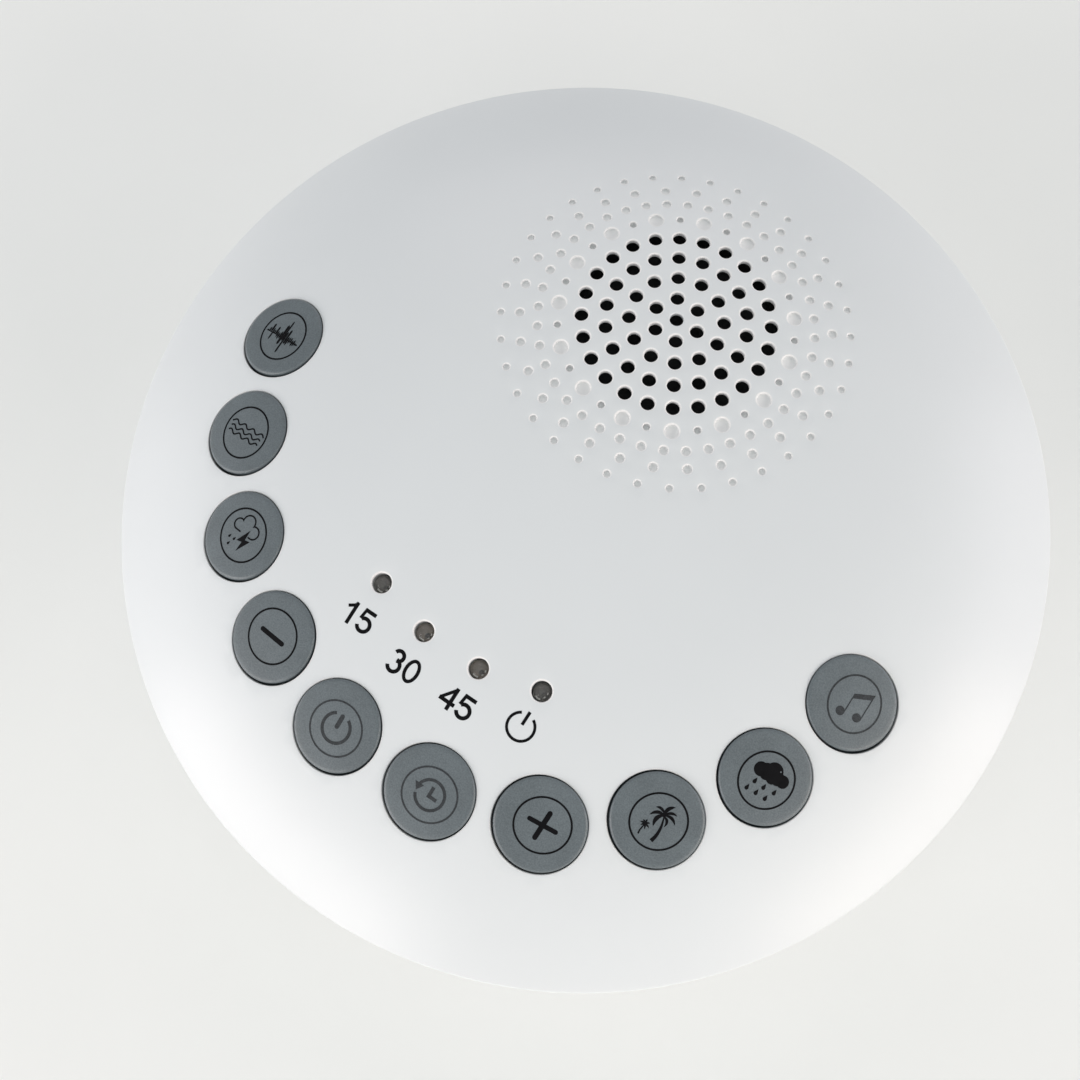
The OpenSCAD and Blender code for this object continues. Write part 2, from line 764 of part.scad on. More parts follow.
module bay_cuts() {
    block(bay_w, bay_front, bay_back, base_z - over, bay_top);
    difference() {
        block(tray_w, tray_front, hinge_y, base_z - over, ledge_z);
        hinge_roll(lip_r, tray_w + 2 * over);
    }
    difference() {
        block(latch_w + door_ledge, latch_front, bay_front - bay_wall, base_z - over,
            latch_top + door_gap);
        block(latch_w, latch_front - over, latch_y - latch_t - latch_nub - door_gap,
            nub_z - latch_t - door_gap, nub_z - door_gap);
    }
    knuckle_rooms();
    for (end = tab_ends) translate([cell_x(end[0]), 0])
        block(tab_w + 2 * tab_room, end[1] ? bay_front : bay_back - contact_t - tab_room,
            end[1] ? bay_front + contact_t + tab_room : bay_back, bay_top - over,
            bay_top + bay_wall + over);
}

module jack_pocket_block() {
    translate([0, 0, jack_z]) intersection() {
        block(pocket_w + 2 * pocket_wall, jack_back_y, cover_r,
            -pocket_h / 2 - pocket_wall, pocket_h / 2 + pocket_wall);
        translate([0, 0, -jack_z]) rotate_extrude($fn = case_fn) bowl_area(0);
    }
}

module jack_cradle() {
    for (side = [-1, 1]) translate([side * (jack_w / 2 + pocket_wall / 2 + jack_fit), 0])
        block(pocket_wall, jack_back_y - jack_l, jack_back_y + over, floor_z - over, jack_z);
    block(jack_w + 2 * jack_fit, jack_back_y - jack_l, jack_back_y, floor_z - over,
        jack_z - jack_w / 2);
}

module jack_cuts() {
    block(pocket_w, pocket_y, cover_r, jack_z - pocket_h / 2, jack_z + pocket_h / 2);
    translate([0, pocket_y + over, jack_z]) rotate([90, 0, 0])
        cylinder(d = jack_nose_d + 2 * jack_fit, h = pocket_wall + 2 * over);
}

module shell_posts() {
    at_places(case_places) translate([0, 0, base_z])
        cylinder(r = post_bore_r + post_wall, h = boss_low_z - base_z);
}

module shell_post_cuts() {
    at_places(case_places) {
        translate([0, 0, base_z - over])
            cylinder(r = post_bore_r, h = boss_low_z - shell_wall - base_z + over);
        translate([0, 0, base_z]) cylinder(d = pilot_d + 4 * screw_fit, h = boss_low_z);
    }
}

module bottom_shell() {
    color("whitesmoke") difference() {
        union() {
            bowl_wall();
            bay_blocks();
            jack_pocket_block();
            jack_cradle();
            shell_posts();
        }
        bay_cuts();
        jack_cuts();
        shell_post_cuts();
        at_places(foot_places) translate([0, 0, base_z - over])
            cylinder(d = foot_d + 2 * screw_fit, h = foot_recess + over);
    }
}

// ---- Battery door ----

module door_knuckles() {
    for (side = [-1, 1]) translate([side * knuckle_x, hinge_y, hinge_z]) rotate([0, 90, 0]) {
        cylinder(r = knuckle_r, h = knuckle_l, center = true);
        cylinder(r = hinge_pin_r, h = knuckle_l + 2 * hinge_pin_l, center = true);
    }
}

module door_latch() {
    block(latch_w, latch_y - latch_t, latch_y, base_z, latch_top);
    block(latch_w, latch_y - latch_t, latch_y + door_ledge / 2, base_z, door_top);
    block(latch_w - latch_t, latch_y - latch_t - latch_nub, latch_y, nub_z, nub_z + latch_t);
}

module battery_door() {
    color("whitesmoke") {
        difference() {
            block(door_w, latch_y, hinge_y, base_z, door_top);
            hinge_roll(door_edge_r, door_w + 2 * over);
            for (k = [1:4]) translate([0, latch_y + door_ledge + k * grip_pitch])
                block(latch_w, -grip_w, 0, base_z - over, base_z + grip_depth);
        }
        for (side = [-1, 1]) translate([side * knuckle_x, 0])
            block(knuckle_l, bay_back, hinge_y, base_z, door_top);
        door_knuckles();
        door_latch();
    }
}

// ---- Buttons and switches ----

module button(i) {
    color("slategray") {
        difference() {
            union() {
                intersection() {
                    dome_solid(key_proud);
                    key_column(i, key_r);
                }
                intersection() {
                    dome_solid(-cover_wall - key_stop_gap);
                    key_column(i, key_flange_r);
                }
            }
            dome_solid(-key_low);
            intersection() {
                dome_solid(key_proud - key_wall);
                key_column(i, key_r - key_wall, seam_z - over);
            }
        }
        intersection() {
            dome_solid(key_proud - key_wall / 2);
            key_column(i, key_stem_d / 2, plunger_z);
        }
    }
}

module plunger(i) {
    color("dimgray") translate(key_place(i))
        translate([0, 0, board_z + switch_h - plunger_in])
            cylinder(d = plunger_d, h = plunger_in + plunger_out);
}

module switch_bodies() {
    leg_w = 0.8;
    leg_t = 0.3;
    color("darkslategray") for (i = [0:len(KEYS) - 1])
        translate(key_place(i)) rotate(key_angle(i)) translate([0, 0, board_z]) {
            difference() {
                translate([-switch_w / 2, -switch_w / 2, 0]) cube([switch_w, switch_w, switch_h]);
                translate([0, 0, switch_h - plunger_in - key_travel - plunger_fit])
                    cylinder(d = plunger_d + 2 * plunger_fit, h = switch_h);
            }
            for (side = [-1, 1], lane = [-1, 1])
                translate([side * (switch_w / 2 + leg_w / 2), lane * switch_w / 3, leg_t / 2])
                    cube([leg_w, leg_w, leg_t], center = true);
        }
}

// ---- Circuit board ----

module main_board() {
    color("seagreen") translate([0, 0, board_low]) difference() {
        linear_extrude(board_t) difference() {
            circle(board_r, $fn = case_fn);
            translate([-board_r - over, board_back_y]) square(2 * (board_r + over));
            translate([0, board_back_y]) circle(board_bay_r);
        }
        for (p = [case_places[0], case_places[1]]) translate(p) translate([0, 0, -over])
            cylinder(d = boss_d + 2 * board_hole_gap, h = board_t + 2 * over);
        at_places(post_places) translate([0, 0, -over])
            cylinder(d = small_pilot_d, h = board_t + 2 * over);
    }
}

module board_screws() {
    color("silver") at_places(post_places) translate([0, 0, board_low])
        screw(small_screw_d, small_screw_l - screw_fit, small_head_d, small_head_h);
}

module sound_chip() {
    color("black") block(chip_l, chip_y - chip_w, chip_y, board_low - chip_t, board_low);
}

module capacitors() {
    color("midnightblue") for (side = [-1, 1])
        translate([side * cap_x, chip_y, board_low - cap_h]) cylinder(d = cap_d, h = cap_h);
}

module wire_headers() {
    color("ivory") at_places(header_places)
        block(header_w, -header_h, 0, board_low - header_h, board_low);
}

// Place and direction at t on the curve that leaves p[0] towards p[1] and comes to p[3] from p[2]
function curve(p, t) =
    pow(1 - t, 3) * p[0] + 3 * pow(1 - t, 2) * t * p[1]
        + 3 * (1 - t) * t * t * p[2] + pow(t, 3) * p[3];
function curve_way(p, t) =
    let (way = pow(1 - t, 2) * (p[1] - p[0]) + 2 * (1 - t) * t * (p[2] - p[1])
        + t * t * (p[3] - p[2])) way / norm(way);

function wire_ring(p, t) =
    let (way = curve_way(p, t), across = cross(way, [0, 0, 1]), side = across / norm(across),
        up = cross(way, side))
        [for (s = [0:wire_sides - 1])
            let (turn = s * 360 / wire_sides)
                curve(p, t) + (side * cos(turn) + up * sin(turn)) * wire_d / 2];

module wire(p) {
    points = [for (k = [0:wire_steps]) each wire_ring(p, k / wire_steps)];
    polyhedron(points, bar_faces(wire_steps, wire_sides), convexity = 4);
}

// Wire from one end to the other, leaving and arriving along two given bends
module wire_between(start, bend, arrive, end) {
    wire([start, start + bend, end - arrive, end]);
}

module speaker_wire(side) {
    reach = lug_y - speaker_header_y;
    wire_between([side * wire_pitch / 2, speaker_header_y, wire_z], [0, reach / 2, 0],
        [0, reach / 2, 0], [side * lug_x, lug_y, lug_z]);
}

module battery_wire(side) {
    end = tab_ends[side < 0 ? 0 : 1];
    front = end[1];
    tip_y = front ? bay_front + contact_t : bay_back - contact_t;
    tip = [cell_x(end[0]), tip_y, tab_z];
    start = [battery_header_x + header_w / 2,
        battery_header_y + (side * wire_pitch - header_h) / 2, wire_z];
    wire_between(start, [side < 0 ? header_w : 2 * header_w, 0, 0],
        [0, (front ? -1 : 1) * bay_l / 3, 0], tip);
}

module jack_wire(side) {
    tip_y = jack_back_y - jack_l;
    reach = tip_y - jack_header_y;
    wire_between([jack_header_x + side * wire_pitch / 2, jack_header_y, wire_z],
        [0, reach * 2 / 3, 0], [0, reach / 2, 0], [side * wire_pitch, tip_y, jack_z]);
}

module red_wires() {
    color("firebrick") {
        speaker_wire(1);
        battery_wire(1);
        jack_wire(1);
    }
}

module black_wires() {
    color("black") {
        speaker_wire(-1);
        battery_wire(-1);
        jack_wire(-1);
    }
}

// ---- Indicator lights ----

module led(i) {
    color("gray", 0.7) translate(led_place(i)) translate([0, 0, led_low(i)]) {
        cylinder(d = led_collar_d, h = led_collar_t);
        cylinder(d = led_d, h = led_collar_t + led_h - led_d / 2);
        translate([0, 0, led_collar_t + led_h - led_d / 2]) sphere(d = led_d);
    }
}

module led_leads() {
    color("silver") for (i = [0:len(LEDS) - 1], side = [-1, 1])
        translate(led_place(i)) translate([side * lead_pitch / 2 - lead_w / 2, -lead_w / 2, board_z])
            cube([lead_w, lead_w, led_low(i) - board_z]);
}

module led_spacers() {
    color("black") for (i = [0:len(LEDS) - 1])
        translate(led_place(i)) translate([0, 0, board_z])
            tube(spacer_d / 2, spacer_bore / 2, led_low(i) - board_z);
}

// ---- Speaker ----

module at_speaker(z) {
    translate([0, grille_y, z]) children();
}

module speaker_gasket() {
    color("black") at_speaker(gasket_low) tube(speaker_r, basket_in_r + lip_w, gasket_t);
}

module speaker_basket() {
    back_hole_r = coil_r + 2;
    window_w = 12;
    window_h = 5;
    color("gray") difference() {
        at_speaker(0) rotate_extrude($fn = case_fn) polygon([
            [basket_in_r, gasket_low], [speaker_r, gasket_low],
            [speaker_r, flange_low], [basket_in_r + basket_t / 2, flange_low],
            [basket_back_r, basket_low], [back_hole_r, basket_low],
            [back_hole_r, basket_low + basket_t],
            [basket_back_r - basket_t / 2, basket_low + basket_t],
            [basket_in_r - basket_t / 2, flange_low]
        ]);
        for (turn = [0:90:270]) at_speaker(basket_low + 2) rotate(turn)
            translate([0, -window_w / 2, 0]) cube([speaker_r, window_w, window_h]);
    }
}

module speaker_terminals() {
    color("tan") {
        difference() {
            block(strip_l, strip_y, strip_y + strip_w, flange_low - strip_t, flange_low);
            speaker_bosses(washer_d + 2 * board_hole_gap, flange_low - strip_t - over,
                strip_t + 2 * over);
        }
        for (side = [-1, 1]) translate([side * lug_x, 0])
            block(lug_w, lug_y, lug_y + lug_t, flange_low - strip_t - lug_l,
                flange_low - strip_t / 2);
    }
}

module speaker_surround() {
    color("black") at_speaker(gasket_low) rotate_extrude($fn = case_fn) {
        translate([cone_out_r - lip_w, 0]) square([lip_w + cone_t / 2, cone_t]);
        difference() {
            translate([cone_out_r + roll_r, 0]) circle(roll_r);
            translate([cone_out_r + roll_r, 0]) circle(roll_r - cone_t);
            translate([0, -speaker_r]) square([speaker_r, speaker_r]);
        }
        translate([basket_in_r - cone_t / 2, 0]) square([lip_w + cone_t / 2, cone_t]);
    }
}

module speaker_cone() {
    color("dimgray") at_speaker(0) rotate_extrude($fn = case_fn) polygon([
        [coil_r, cone_low], [cone_out_r - lip_w, cone_top], [cone_out_r, cone_top],
        [cone_out_r, gasket_low], [cone_out_r - lip_w, gasket_low],
        [coil_r, cone_low + cone_t]
    ]);
}

module dust_cap() {
    cap_r = 12;
    rise = sqrt(pow(cap_r, 2) - pow(coil_r + cone_t, 2));
    color("black") at_speaker(coil_top - rise) rotate_extrude($fn = case_fn) difference() {
        circle(cap_r);
        circle(cap_r - cone_t);
        translate([-2 * cap_r, -2 * cap_r]) square([2 * cap_r, 4 * cap_r]);
        translate([-over, -2 * cap_r]) square([3 * cap_r, 2 * cap_r + rise]);
    }
}

module voice_coil() {
    color("peru") at_speaker(coil_low) tube(coil_r, coil_r - coil_wall, coil_top - coil_low);
}

module speaker_magnet() {
    color("darkslategray") at_speaker(magnet_low)
        tube(magnet_d / 2, coil_r + 3 * coil_gap + over, magnet_t);
}

module magnet_plates() {
    plate_r = magnet_d / 2 - pole_t;
    color("silver") {
        at_speaker(magnet_top) tube(plate_r, coil_r + coil_gap, pole_t);
        at_speaker(yoke_low) cylinder(r = plate_r, h = pole_t);
        at_speaker(yoke_low) cylinder(r = coil_r - coil_wall - coil_gap, h = pole_top - yoke_low);
    }
}

module speaker_washers() {
    color("silver") for (a = speaker_screw_angles)
        translate([0, grille_y]) rotate(a)
            translate([speaker_r + speaker_screw_out, 0, flange_low - washer_t])
                tube(washer_d / 2, small_pilot_d / 2, washer_t);
}

module speaker_screws() {
    color("silver") for (a = speaker_screw_angles)
        translate([0, grille_y]) rotate(a)
            translate([speaker_r + speaker_screw_out, 0, flange_low - washer_t])
                screw(small_screw_d, small_screw_l - screw_fit, small_head_d, small_head_h);
}

// ---- Power socket, contacts, screws and feet ----

module power_jack() {
    color("black") difference() {
        union() {
            block(jack_w, jack_back_y - jack_l, jack_back_y, jack_z - jack_w / 2, jack_z + jack_w / 2);
            translate([0, pocket_y, jack_z]) rotate([90, 0, 0])
                cylinder(d = jack_nose_d, h = pocket_wall + over);
        }
        translate([0, pocket_y + over, jack_z]) rotate([90, 0, 0]) difference() {
            cylinder(d = jack_bore_d, h = jack_depth + over);
            cylinder(d = jack_pin_d, h = jack_depth + 2 * over);
        }
    }
}

function cell_x(i) = (i - (cell_count - 1) / 2) * cell_pitch;

module contact_plate(w, front, low, high) {
    y = front ? bay_front : bay_back - contact_t;
    block(w, y, y + contact_t, low, high);
}

module battery_plates() {
    low = (ledge_z + bay_top - contact_w) / 2;
    color("gainsboro") {
        for (i = [0:cell_count - 2]) translate([(cell_x(i) + cell_x(i + 1)) / 2, 0])
            contact_plate(contact_w + cell_pitch, i % 2 == 1, low, low + contact_w);
        for (end = tab_ends) translate([cell_x(end[0]), 0]) {
            contact_plate(contact_w, end[1], low, low + contact_w);
            contact_plate(tab_w, end[1], low, bay_top + bay_wall + tab_h);
        }
    }
}

// Points round a cone spring's wire at step k of n, from its plate to its tip
function spring_ring(k, n) =
    let (
        t = k / n,
        a = 360 * spring_turns * t,
        r = spring_r + (spring_tip_r - spring_r) * t,
        out = [cos(a), 0, sin(a)],
        mid = r * out + [0, spring_wire / 2 + (spring_len - spring_wire) * t, 0]
    )
        [for (s = [0:spring_sides - 1])
            let (turn = s * 360 / spring_sides)
                mid + (out * cos(turn) + [0, sin(turn), 0]) * spring_wire / 2];

module cone_spring() {
    n = spring_turns * spring_steps;
    points = [for (k = [0:n]) each spring_ring(k, n)];
    polyhedron(points, bar_faces(n, spring_sides), convexity = 8);
}

module battery_springs() {
    mid_z = (ledge_z + bay_top) / 2;
    color("gainsboro") for (i = [0:cell_count - 1]) {
        front = i % 2 == 0;
        translate([cell_x(i), front ? bay_front + contact_t : bay_back - contact_t, mid_z])
            mirror([0, front ? 0 : 1, 0]) cone_spring();
    }
}

module case_screws() {
    color("silver") at_places(case_places) translate([0, 0, boss_low_z - shell_wall])
        screw(screw_d, case_screw_l, head_d, head_h);
}

module rubber_feet() {
    color("dimgray") at_places(foot_places) rotate_extrude() difference() {
        square([foot_d / 2, base_z + foot_recess]);
        translate([foot_d / 2, 0]) rotate(45) square(foot_chamfer, center = true);
    }
}

top_cover();
bottom_shell();
battery_door();
for (i = [0:len(KEYS) - 1]) {
    button(i);
    plunger(i);
}
switch_bodies();
main_board();
board_screws();
for (i = [0:len(LEDS) - 1]) led(i);
led_leads();
led_spacers();
speaker_gasket();
speaker_basket();
speaker_terminals();
speaker_surround();
speaker_cone();
dust_cap();
voice_coil();
speaker_magnet();
magnet_plates();
speaker_screws();
speaker_washers();
power_jack();
battery_springs();
battery_plates();
case_screws();
rubber_feet();
sound_chip();
capacitors();
wire_headers();
red_wires();
black_wires();
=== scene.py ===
# %% [markdown]
# # A white noise sound machine
# This lesson dresses a round tabletop sound machine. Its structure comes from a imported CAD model,
# which is loaded as a fixed frame: every piece below stands where that frame says. The domed
# cover, the buttons and the lights get finer meshes, and every piece gets a procedural material.

# %% Load the frame and note its size
from math import asin, atan2, cos, hypot, pi, radians, sin, sqrt, tau

import bmesh
import bpy
from mathutils import Matrix, Vector
from mathutils.geometry import delaunay_2d_cdt


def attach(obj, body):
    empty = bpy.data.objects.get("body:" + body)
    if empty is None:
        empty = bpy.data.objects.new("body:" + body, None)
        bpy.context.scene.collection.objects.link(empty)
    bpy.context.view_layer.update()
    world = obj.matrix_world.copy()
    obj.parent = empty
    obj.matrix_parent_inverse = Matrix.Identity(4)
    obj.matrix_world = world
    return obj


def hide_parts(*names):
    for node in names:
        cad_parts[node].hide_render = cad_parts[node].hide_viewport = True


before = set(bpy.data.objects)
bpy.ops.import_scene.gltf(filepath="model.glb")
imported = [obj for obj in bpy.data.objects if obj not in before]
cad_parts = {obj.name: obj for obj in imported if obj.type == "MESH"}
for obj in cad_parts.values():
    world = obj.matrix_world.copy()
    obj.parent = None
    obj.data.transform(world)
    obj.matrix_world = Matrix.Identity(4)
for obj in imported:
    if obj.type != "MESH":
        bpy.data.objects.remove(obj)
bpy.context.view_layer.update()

scene = bpy.context.scene
MM = 0.001


# %% [markdown]
# ## The shape that everything follows
# The cover is one flat arc over the crown and one tighter arc down to the rim. Both meet without
# an edge at 35 mm from the centre. Everything on the cover is drawn flat first, with its height
# over the skin, and is then draped over the dome. One function gives the dome's height for single
# places, and one node group does the draping.

# %% The dome in numbers
CASE_HEIGHT = 54.0
CROWN_RADIUS = 260.0
SHOULDER_RADIUS = 109.0
CROWN_ZONE = 35.0
COVER_RADIUS = 80.0
COVER_WALL = 2.2
RIM_ROUND = 1.0
SKIRT = 3.0

crown_level = CASE_HEIGHT - CROWN_RADIUS
shoulder_share = 1 - SHOULDER_RADIUS / CROWN_RADIUS
shoulder_reach = CROWN_ZONE * shoulder_share
shoulder_level = crown_level + sqrt(CROWN_RADIUS**2 - CROWN_ZONE**2) * shoulder_share


def dome(x, y, over=0.0):
    """Height of the cover's skin above the table, in mm, moved outwards by over."""
    reach = hypot(x, y)
    if reach < CROWN_ZONE * (CROWN_RADIUS + over) / CROWN_RADIUS:
        return crown_level + sqrt((CROWN_RADIUS + over) ** 2 - reach**2)
    away = reach - shoulder_reach
    return shoulder_level + sqrt((SHOULDER_RADIUS + over) ** 2 - away**2)


def around(x, y, radius, turn):
    """Point at an angle round a centre."""
    return x + radius * cos(turn), y + radius * sin(turn)


rim_reach = COVER_RADIUS - RIM_ROUND
rim_lean = asin((rim_reach - shoulder_reach) / (SHOULDER_RADIUS - RIM_ROUND))
rim_level = shoulder_level + (SHOULDER_RADIUS - RIM_ROUND) * cos(rim_lean)
seam_level = rim_level - SKIRT
skin_edge = shoulder_reach + SHOULDER_RADIUS * sin(rim_lean)
print(f"rim at {rim_level:.2f} mm, seam at {seam_level:.2f} mm, skin ends at {skin_edge:.2f} mm")

# %% [markdown]
# ## Short ways to build node trees
# Geometry Nodes make what repeats here. A small class keeps the building of a tree readable.


# %% A recipe for a node tree
class Recipe:
    """One Geometry Nodes tree with named inputs and an output of geometry."""

    def __init__(self, name, **inputs):
        self.tree = bpy.data.node_groups.new(name, "GeometryNodeTree")
        sockets = self.tree.interface
        sockets.new_socket("Geometry", in_out="OUTPUT", socket_type="NodeSocketGeometry")
        for label, kind in inputs.items():
            sockets.new_socket(label, in_out="INPUT", socket_type="NodeSocket" + kind)
        self.start = self.tree.nodes.new("NodeGroupInput")

    def join(self, value, socket):
        if isinstance(value, bpy.types.NodeSocket):
            self.tree.links.new(value, socket)
        elif value is not None:
            socket.default_value = value

    def add(self, kind, *values, **settings):
        node = self.tree.nodes.new(kind)
        for name, value in settings.items():
            setattr(node, name, value)
        for value, socket in zip(values, node.inputs):
            self.join(value, socket)
        return node

    def math(self, operation, *values):
        return self.add("ShaderNodeMath", *values, operation=operation).outputs[0]

    def square(self, value):
        return self.math("MULTIPLY", value, value)

    def vector(self, x, y, z):
        return self.add("ShaderNodeCombineXYZ", x, y, z).outputs[0]

    def finish(self, geometry, material):
        """Ends a tree with real geometry and its material, because instances aren't kept."""
        real = self.add("GeometryNodeRealizeInstances", geometry).outputs[0]
        painted = self.add("GeometryNodeSetMaterial", real, None, material).outputs[0]
        end = self.tree.nodes.new("NodeGroupOutput")
        self.tree.links.new(painted, end.inputs[0])
        return self.tree


# %% Draping as nodes
def drape(recipe, geometry):
    """Moves every point from its height over a flat sheet to that height over the dome."""
    spot = recipe.add("GeometryNodeInputPosition").outputs[0]
    parts = recipe.add("ShaderNodeSeparateXYZ", spot)
    x, y, over = parts.outputs
    reach = recipe.math("SQRT", recipe.math("ADD", recipe.square(x), recipe.square(y)))

    def arc(radius, level, centre):
        size = recipe.math("ADD", over, radius * MM)
        away = recipe.math("SUBTRACT", reach, centre * MM)
        rise = recipe.math("SUBTRACT", recipe.square(size), recipe.square(away))
        return recipe.math("ADD", recipe.math("SQRT", rise), level * MM)

    crown = arc(CROWN_RADIUS, crown_level, 0.0)
    shoulder = arc(SHOULDER_RADIUS, shoulder_level, shoulder_reach)
    share = recipe.math("DIVIDE", recipe.math("ADD", over, CROWN_RADIUS * MM), CROWN_RADIUS * MM)
    outside = recipe.math("GREATER_THAN", reach, recipe.math("MULTIPLY", share, CROWN_ZONE * MM))
    height = recipe.add("GeometryNodeSwitch", outside, crown, shoulder, input_type="FLOAT")
    target = recipe.vector(x, y, height.outputs[0])
    return recipe.add("GeometryNodeSetPosition", geometry, None, target).outputs[0]


draping = Recipe("Drape over the dome", Sheet="Geometry", Material="Material")
drape_tree = draping.finish(
    drape(draping, draping.start.outputs["Sheet"]), draping.start.outputs["Material"]
)

# %% [markdown]
# ## From a tree to a plain mesh
# A modifier's inputs are set before the object is first evaluated. Then the result is baked to a
# plain mesh and the modifier goes, so that the piece can be joined, welded and exported.


# %% Grow a mesh from a tree
def put(name, mesh):
    """An object at the origin that shows a mesh."""
    piece = bpy.data.objects.new(name, mesh)
    scene.collection.objects.link(piece)
    return piece


def grow(name, tree, mesh=None, **inputs):
    """Runs a tree once and returns its result as a plain mesh."""
    helper = put(name, mesh or bpy.data.meshes.new(name))
    modifier = helper.modifiers.new("grow", "NODES")
    modifier.node_group = tree
    for socket in tree.interface.items_tree:
        if socket.in_out == "INPUT" and socket.name in inputs:
            modifier[socket.identifier] = inputs[socket.name]
    graph = bpy.context.evaluated_depsgraph_get()
    grown = bpy.data.meshes.new_from_object(helper.evaluated_get(graph), depsgraph=graph)
    bpy.data.objects.remove(helper)
    grown.name = name
    return grown


WELD_WITHIN = 2e-6


def weld(name, meshes, join_within=WELD_WITHIN, smooth_below=35.0):
    """Joins meshes, welds what lies together, turns faces outwards and sets the shading."""
    shape = bmesh.new()
    finishes = []
    for mesh in meshes:
        used = mesh.materials[0] if mesh.materials else finishes[0]
        if used not in finishes:
            finishes.append(used)
        mesh.polygons.foreach_set("material_index", [finishes.index(used)] * len(mesh.polygons))
        shape.from_mesh(mesh)
    if join_within:
        bmesh.ops.remove_doubles(shape, verts=shape.verts, dist=join_within)
    bmesh.ops.recalc_face_normals(shape, faces=shape.faces)
    loose_edges = sum(1 for edge in shape.edges if not edge.is_manifold)
    joined = bpy.data.meshes.new(name)
    shape.to_mesh(joined)
    shape.free()
    for used in finishes:
        joined.materials.append(used)
    joined.polygons.foreach_set("use_smooth", [True] * len(joined.polygons))
    joined.set_sharp_from_angle(angle=radians(smooth_below))
    piece = put(name, joined)
    print(f"{name}: {len(joined.polygons)} faces, {loose_edges} open edges")
    return piece


# %% Turn a profile round an upright axis
def lathe(name, profile, sides, centre=(0.0, 0.0), closed=False):
    """Mesh turned from a profile of (radius, height) in mm.

    A radius of 0 becomes one point, and a height of None lies inside the cover's wall.
    """
    rows, points, faces = [], [], []
    for radius, height in profile:
        count = 1 if radius == 0 else sides
        first = len(points)
        rows.append([first + k % count for k in range(sides)])
        for k in range(count):
            turn = tau * k / sides
            x, y = around(*centre, radius, turn)
            level = dome(x, y) - COVER_WALL / 2 if height is None else height
            points.append((x * MM, y * MM, level * MM))
    pairs = list(zip(rows, rows[1:]))
    if closed:
        pairs.append((rows[-1], rows[0]))
    for above, below in pairs:
        for k in range(sides):
            corner = [above[k], above[(k + 1) % sides], below[(k + 1) % sides], below[k]]
            ring = list(dict.fromkeys(corner))
            if len(ring) > 2:
                faces.append(ring)
    mesh = bpy.data.meshes.new(name)
    mesh.from_pydata(points, [], faces)
    return mesh


LIP_STEPS = 4


def rounding(radius, lip):
    """Profile of a rounded lip: from the skin at radius + lip down to the wall at radius."""
    turns = [pi / 2 * k / LIP_STEPS for k in range(LIP_STEPS + 1)]
    return [(radius + lip * (1 - sin(t)), -lip * (1 - cos(t))) for t in turns]


# %% [markdown]
# ## Materials
# The cover is satin white ABS, the buttons are matte grey with a soft grain, the printing is flat
# ink, and the lights are clear epoxy over a dark inside. Each finish gets its own grain: a slight
# change of tone, of roughness and of height. The patterns read Object coordinates, so they keep
# their scale on every piece.


# %% A finish with grain
NOISE_LOW, NOISE_HIGH = 0.3, 0.7
FINE_DETAIL, BROAD_DETAIL = 4.0, 3.0
ROUGHNESS_SWING = 0.12


def finish(name, colour, roughness, grain, relief, tone, patch, speckle=0.0, **settings):
    """Material with a fine grain and soft patches. Their sizes and the relief are in mm.

    Tone is the share by which patches differ from the colour, speckle the same for grains.
    """
    material = bpy.data.materials.new(name)
    material.use_nodes = True
    nodes, links = material.node_tree.nodes, material.node_tree.links
    shader = nodes["Principled BSDF"]
    place = nodes.new("ShaderNodeTexCoord").outputs["Object"]

    def noise(size, detail):
        node = nodes.new("ShaderNodeTexNoise")
        node.inputs["Scale"].default_value = 1 / (size * MM)
        node.inputs["Detail"].default_value = detail
        links.new(place, node.inputs["Vector"])
        return node.outputs["Fac"]

    def spread(source, low, high):
        node = nodes.new("ShaderNodeMapRange")
        limits = {"From Min": NOISE_LOW, "From Max": NOISE_HIGH, "To Min": low, "To Max": high}
        for label, value in limits.items():
            node.inputs[label].default_value = value
        links.new(source, node.inputs["Value"])
        return node.outputs["Result"]

    fine, broad = noise(grain, FINE_DETAIL), noise(patch, BROAD_DETAIL)
    blend = nodes.new("ShaderNodeMix")
    blend.data_type = "RGBA"
    blend.inputs["A"].default_value = [c * (1 - tone) for c in colour] + [1.0]
    blend.inputs["B"].default_value = [min(1.0, c * (1 + tone)) for c in colour] + [1.0]
    links.new(spread(broad, 0.0, 1.0), blend.inputs["Factor"])
    colour_out = blend.outputs["Result"]
    if speckle:
        grainy = nodes.new("ShaderNodeMix")
        grainy.data_type, grainy.blend_type = "RGBA", "MULTIPLY"
        grainy.inputs["Factor"].default_value = 1.0
        links.new(colour_out, grainy.inputs["A"])
        links.new(spread(fine, 1 - speckle, 1 + speckle), grainy.inputs["B"])
        colour_out = grainy.outputs["Result"]
    links.new(colour_out, shader.inputs["Base Color"])
    smooth, rough = roughness * (1 - ROUGHNESS_SWING), roughness * (1 + ROUGHNESS_SWING)
    links.new(spread(fine, smooth, rough), shader.inputs["Roughness"])
    bump = nodes.new("ShaderNodeBump")
    bump.inputs["Strength"].default_value = 1.0
    bump.inputs["Distance"].default_value = relief * MM
    links.new(fine, bump.inputs["Height"])
    links.new(bump.outputs["Normal"], shader.inputs["Normal"])
    for label, value in settings.items():
        shader.inputs[label.replace("_", " ")].default_value = value
    return material


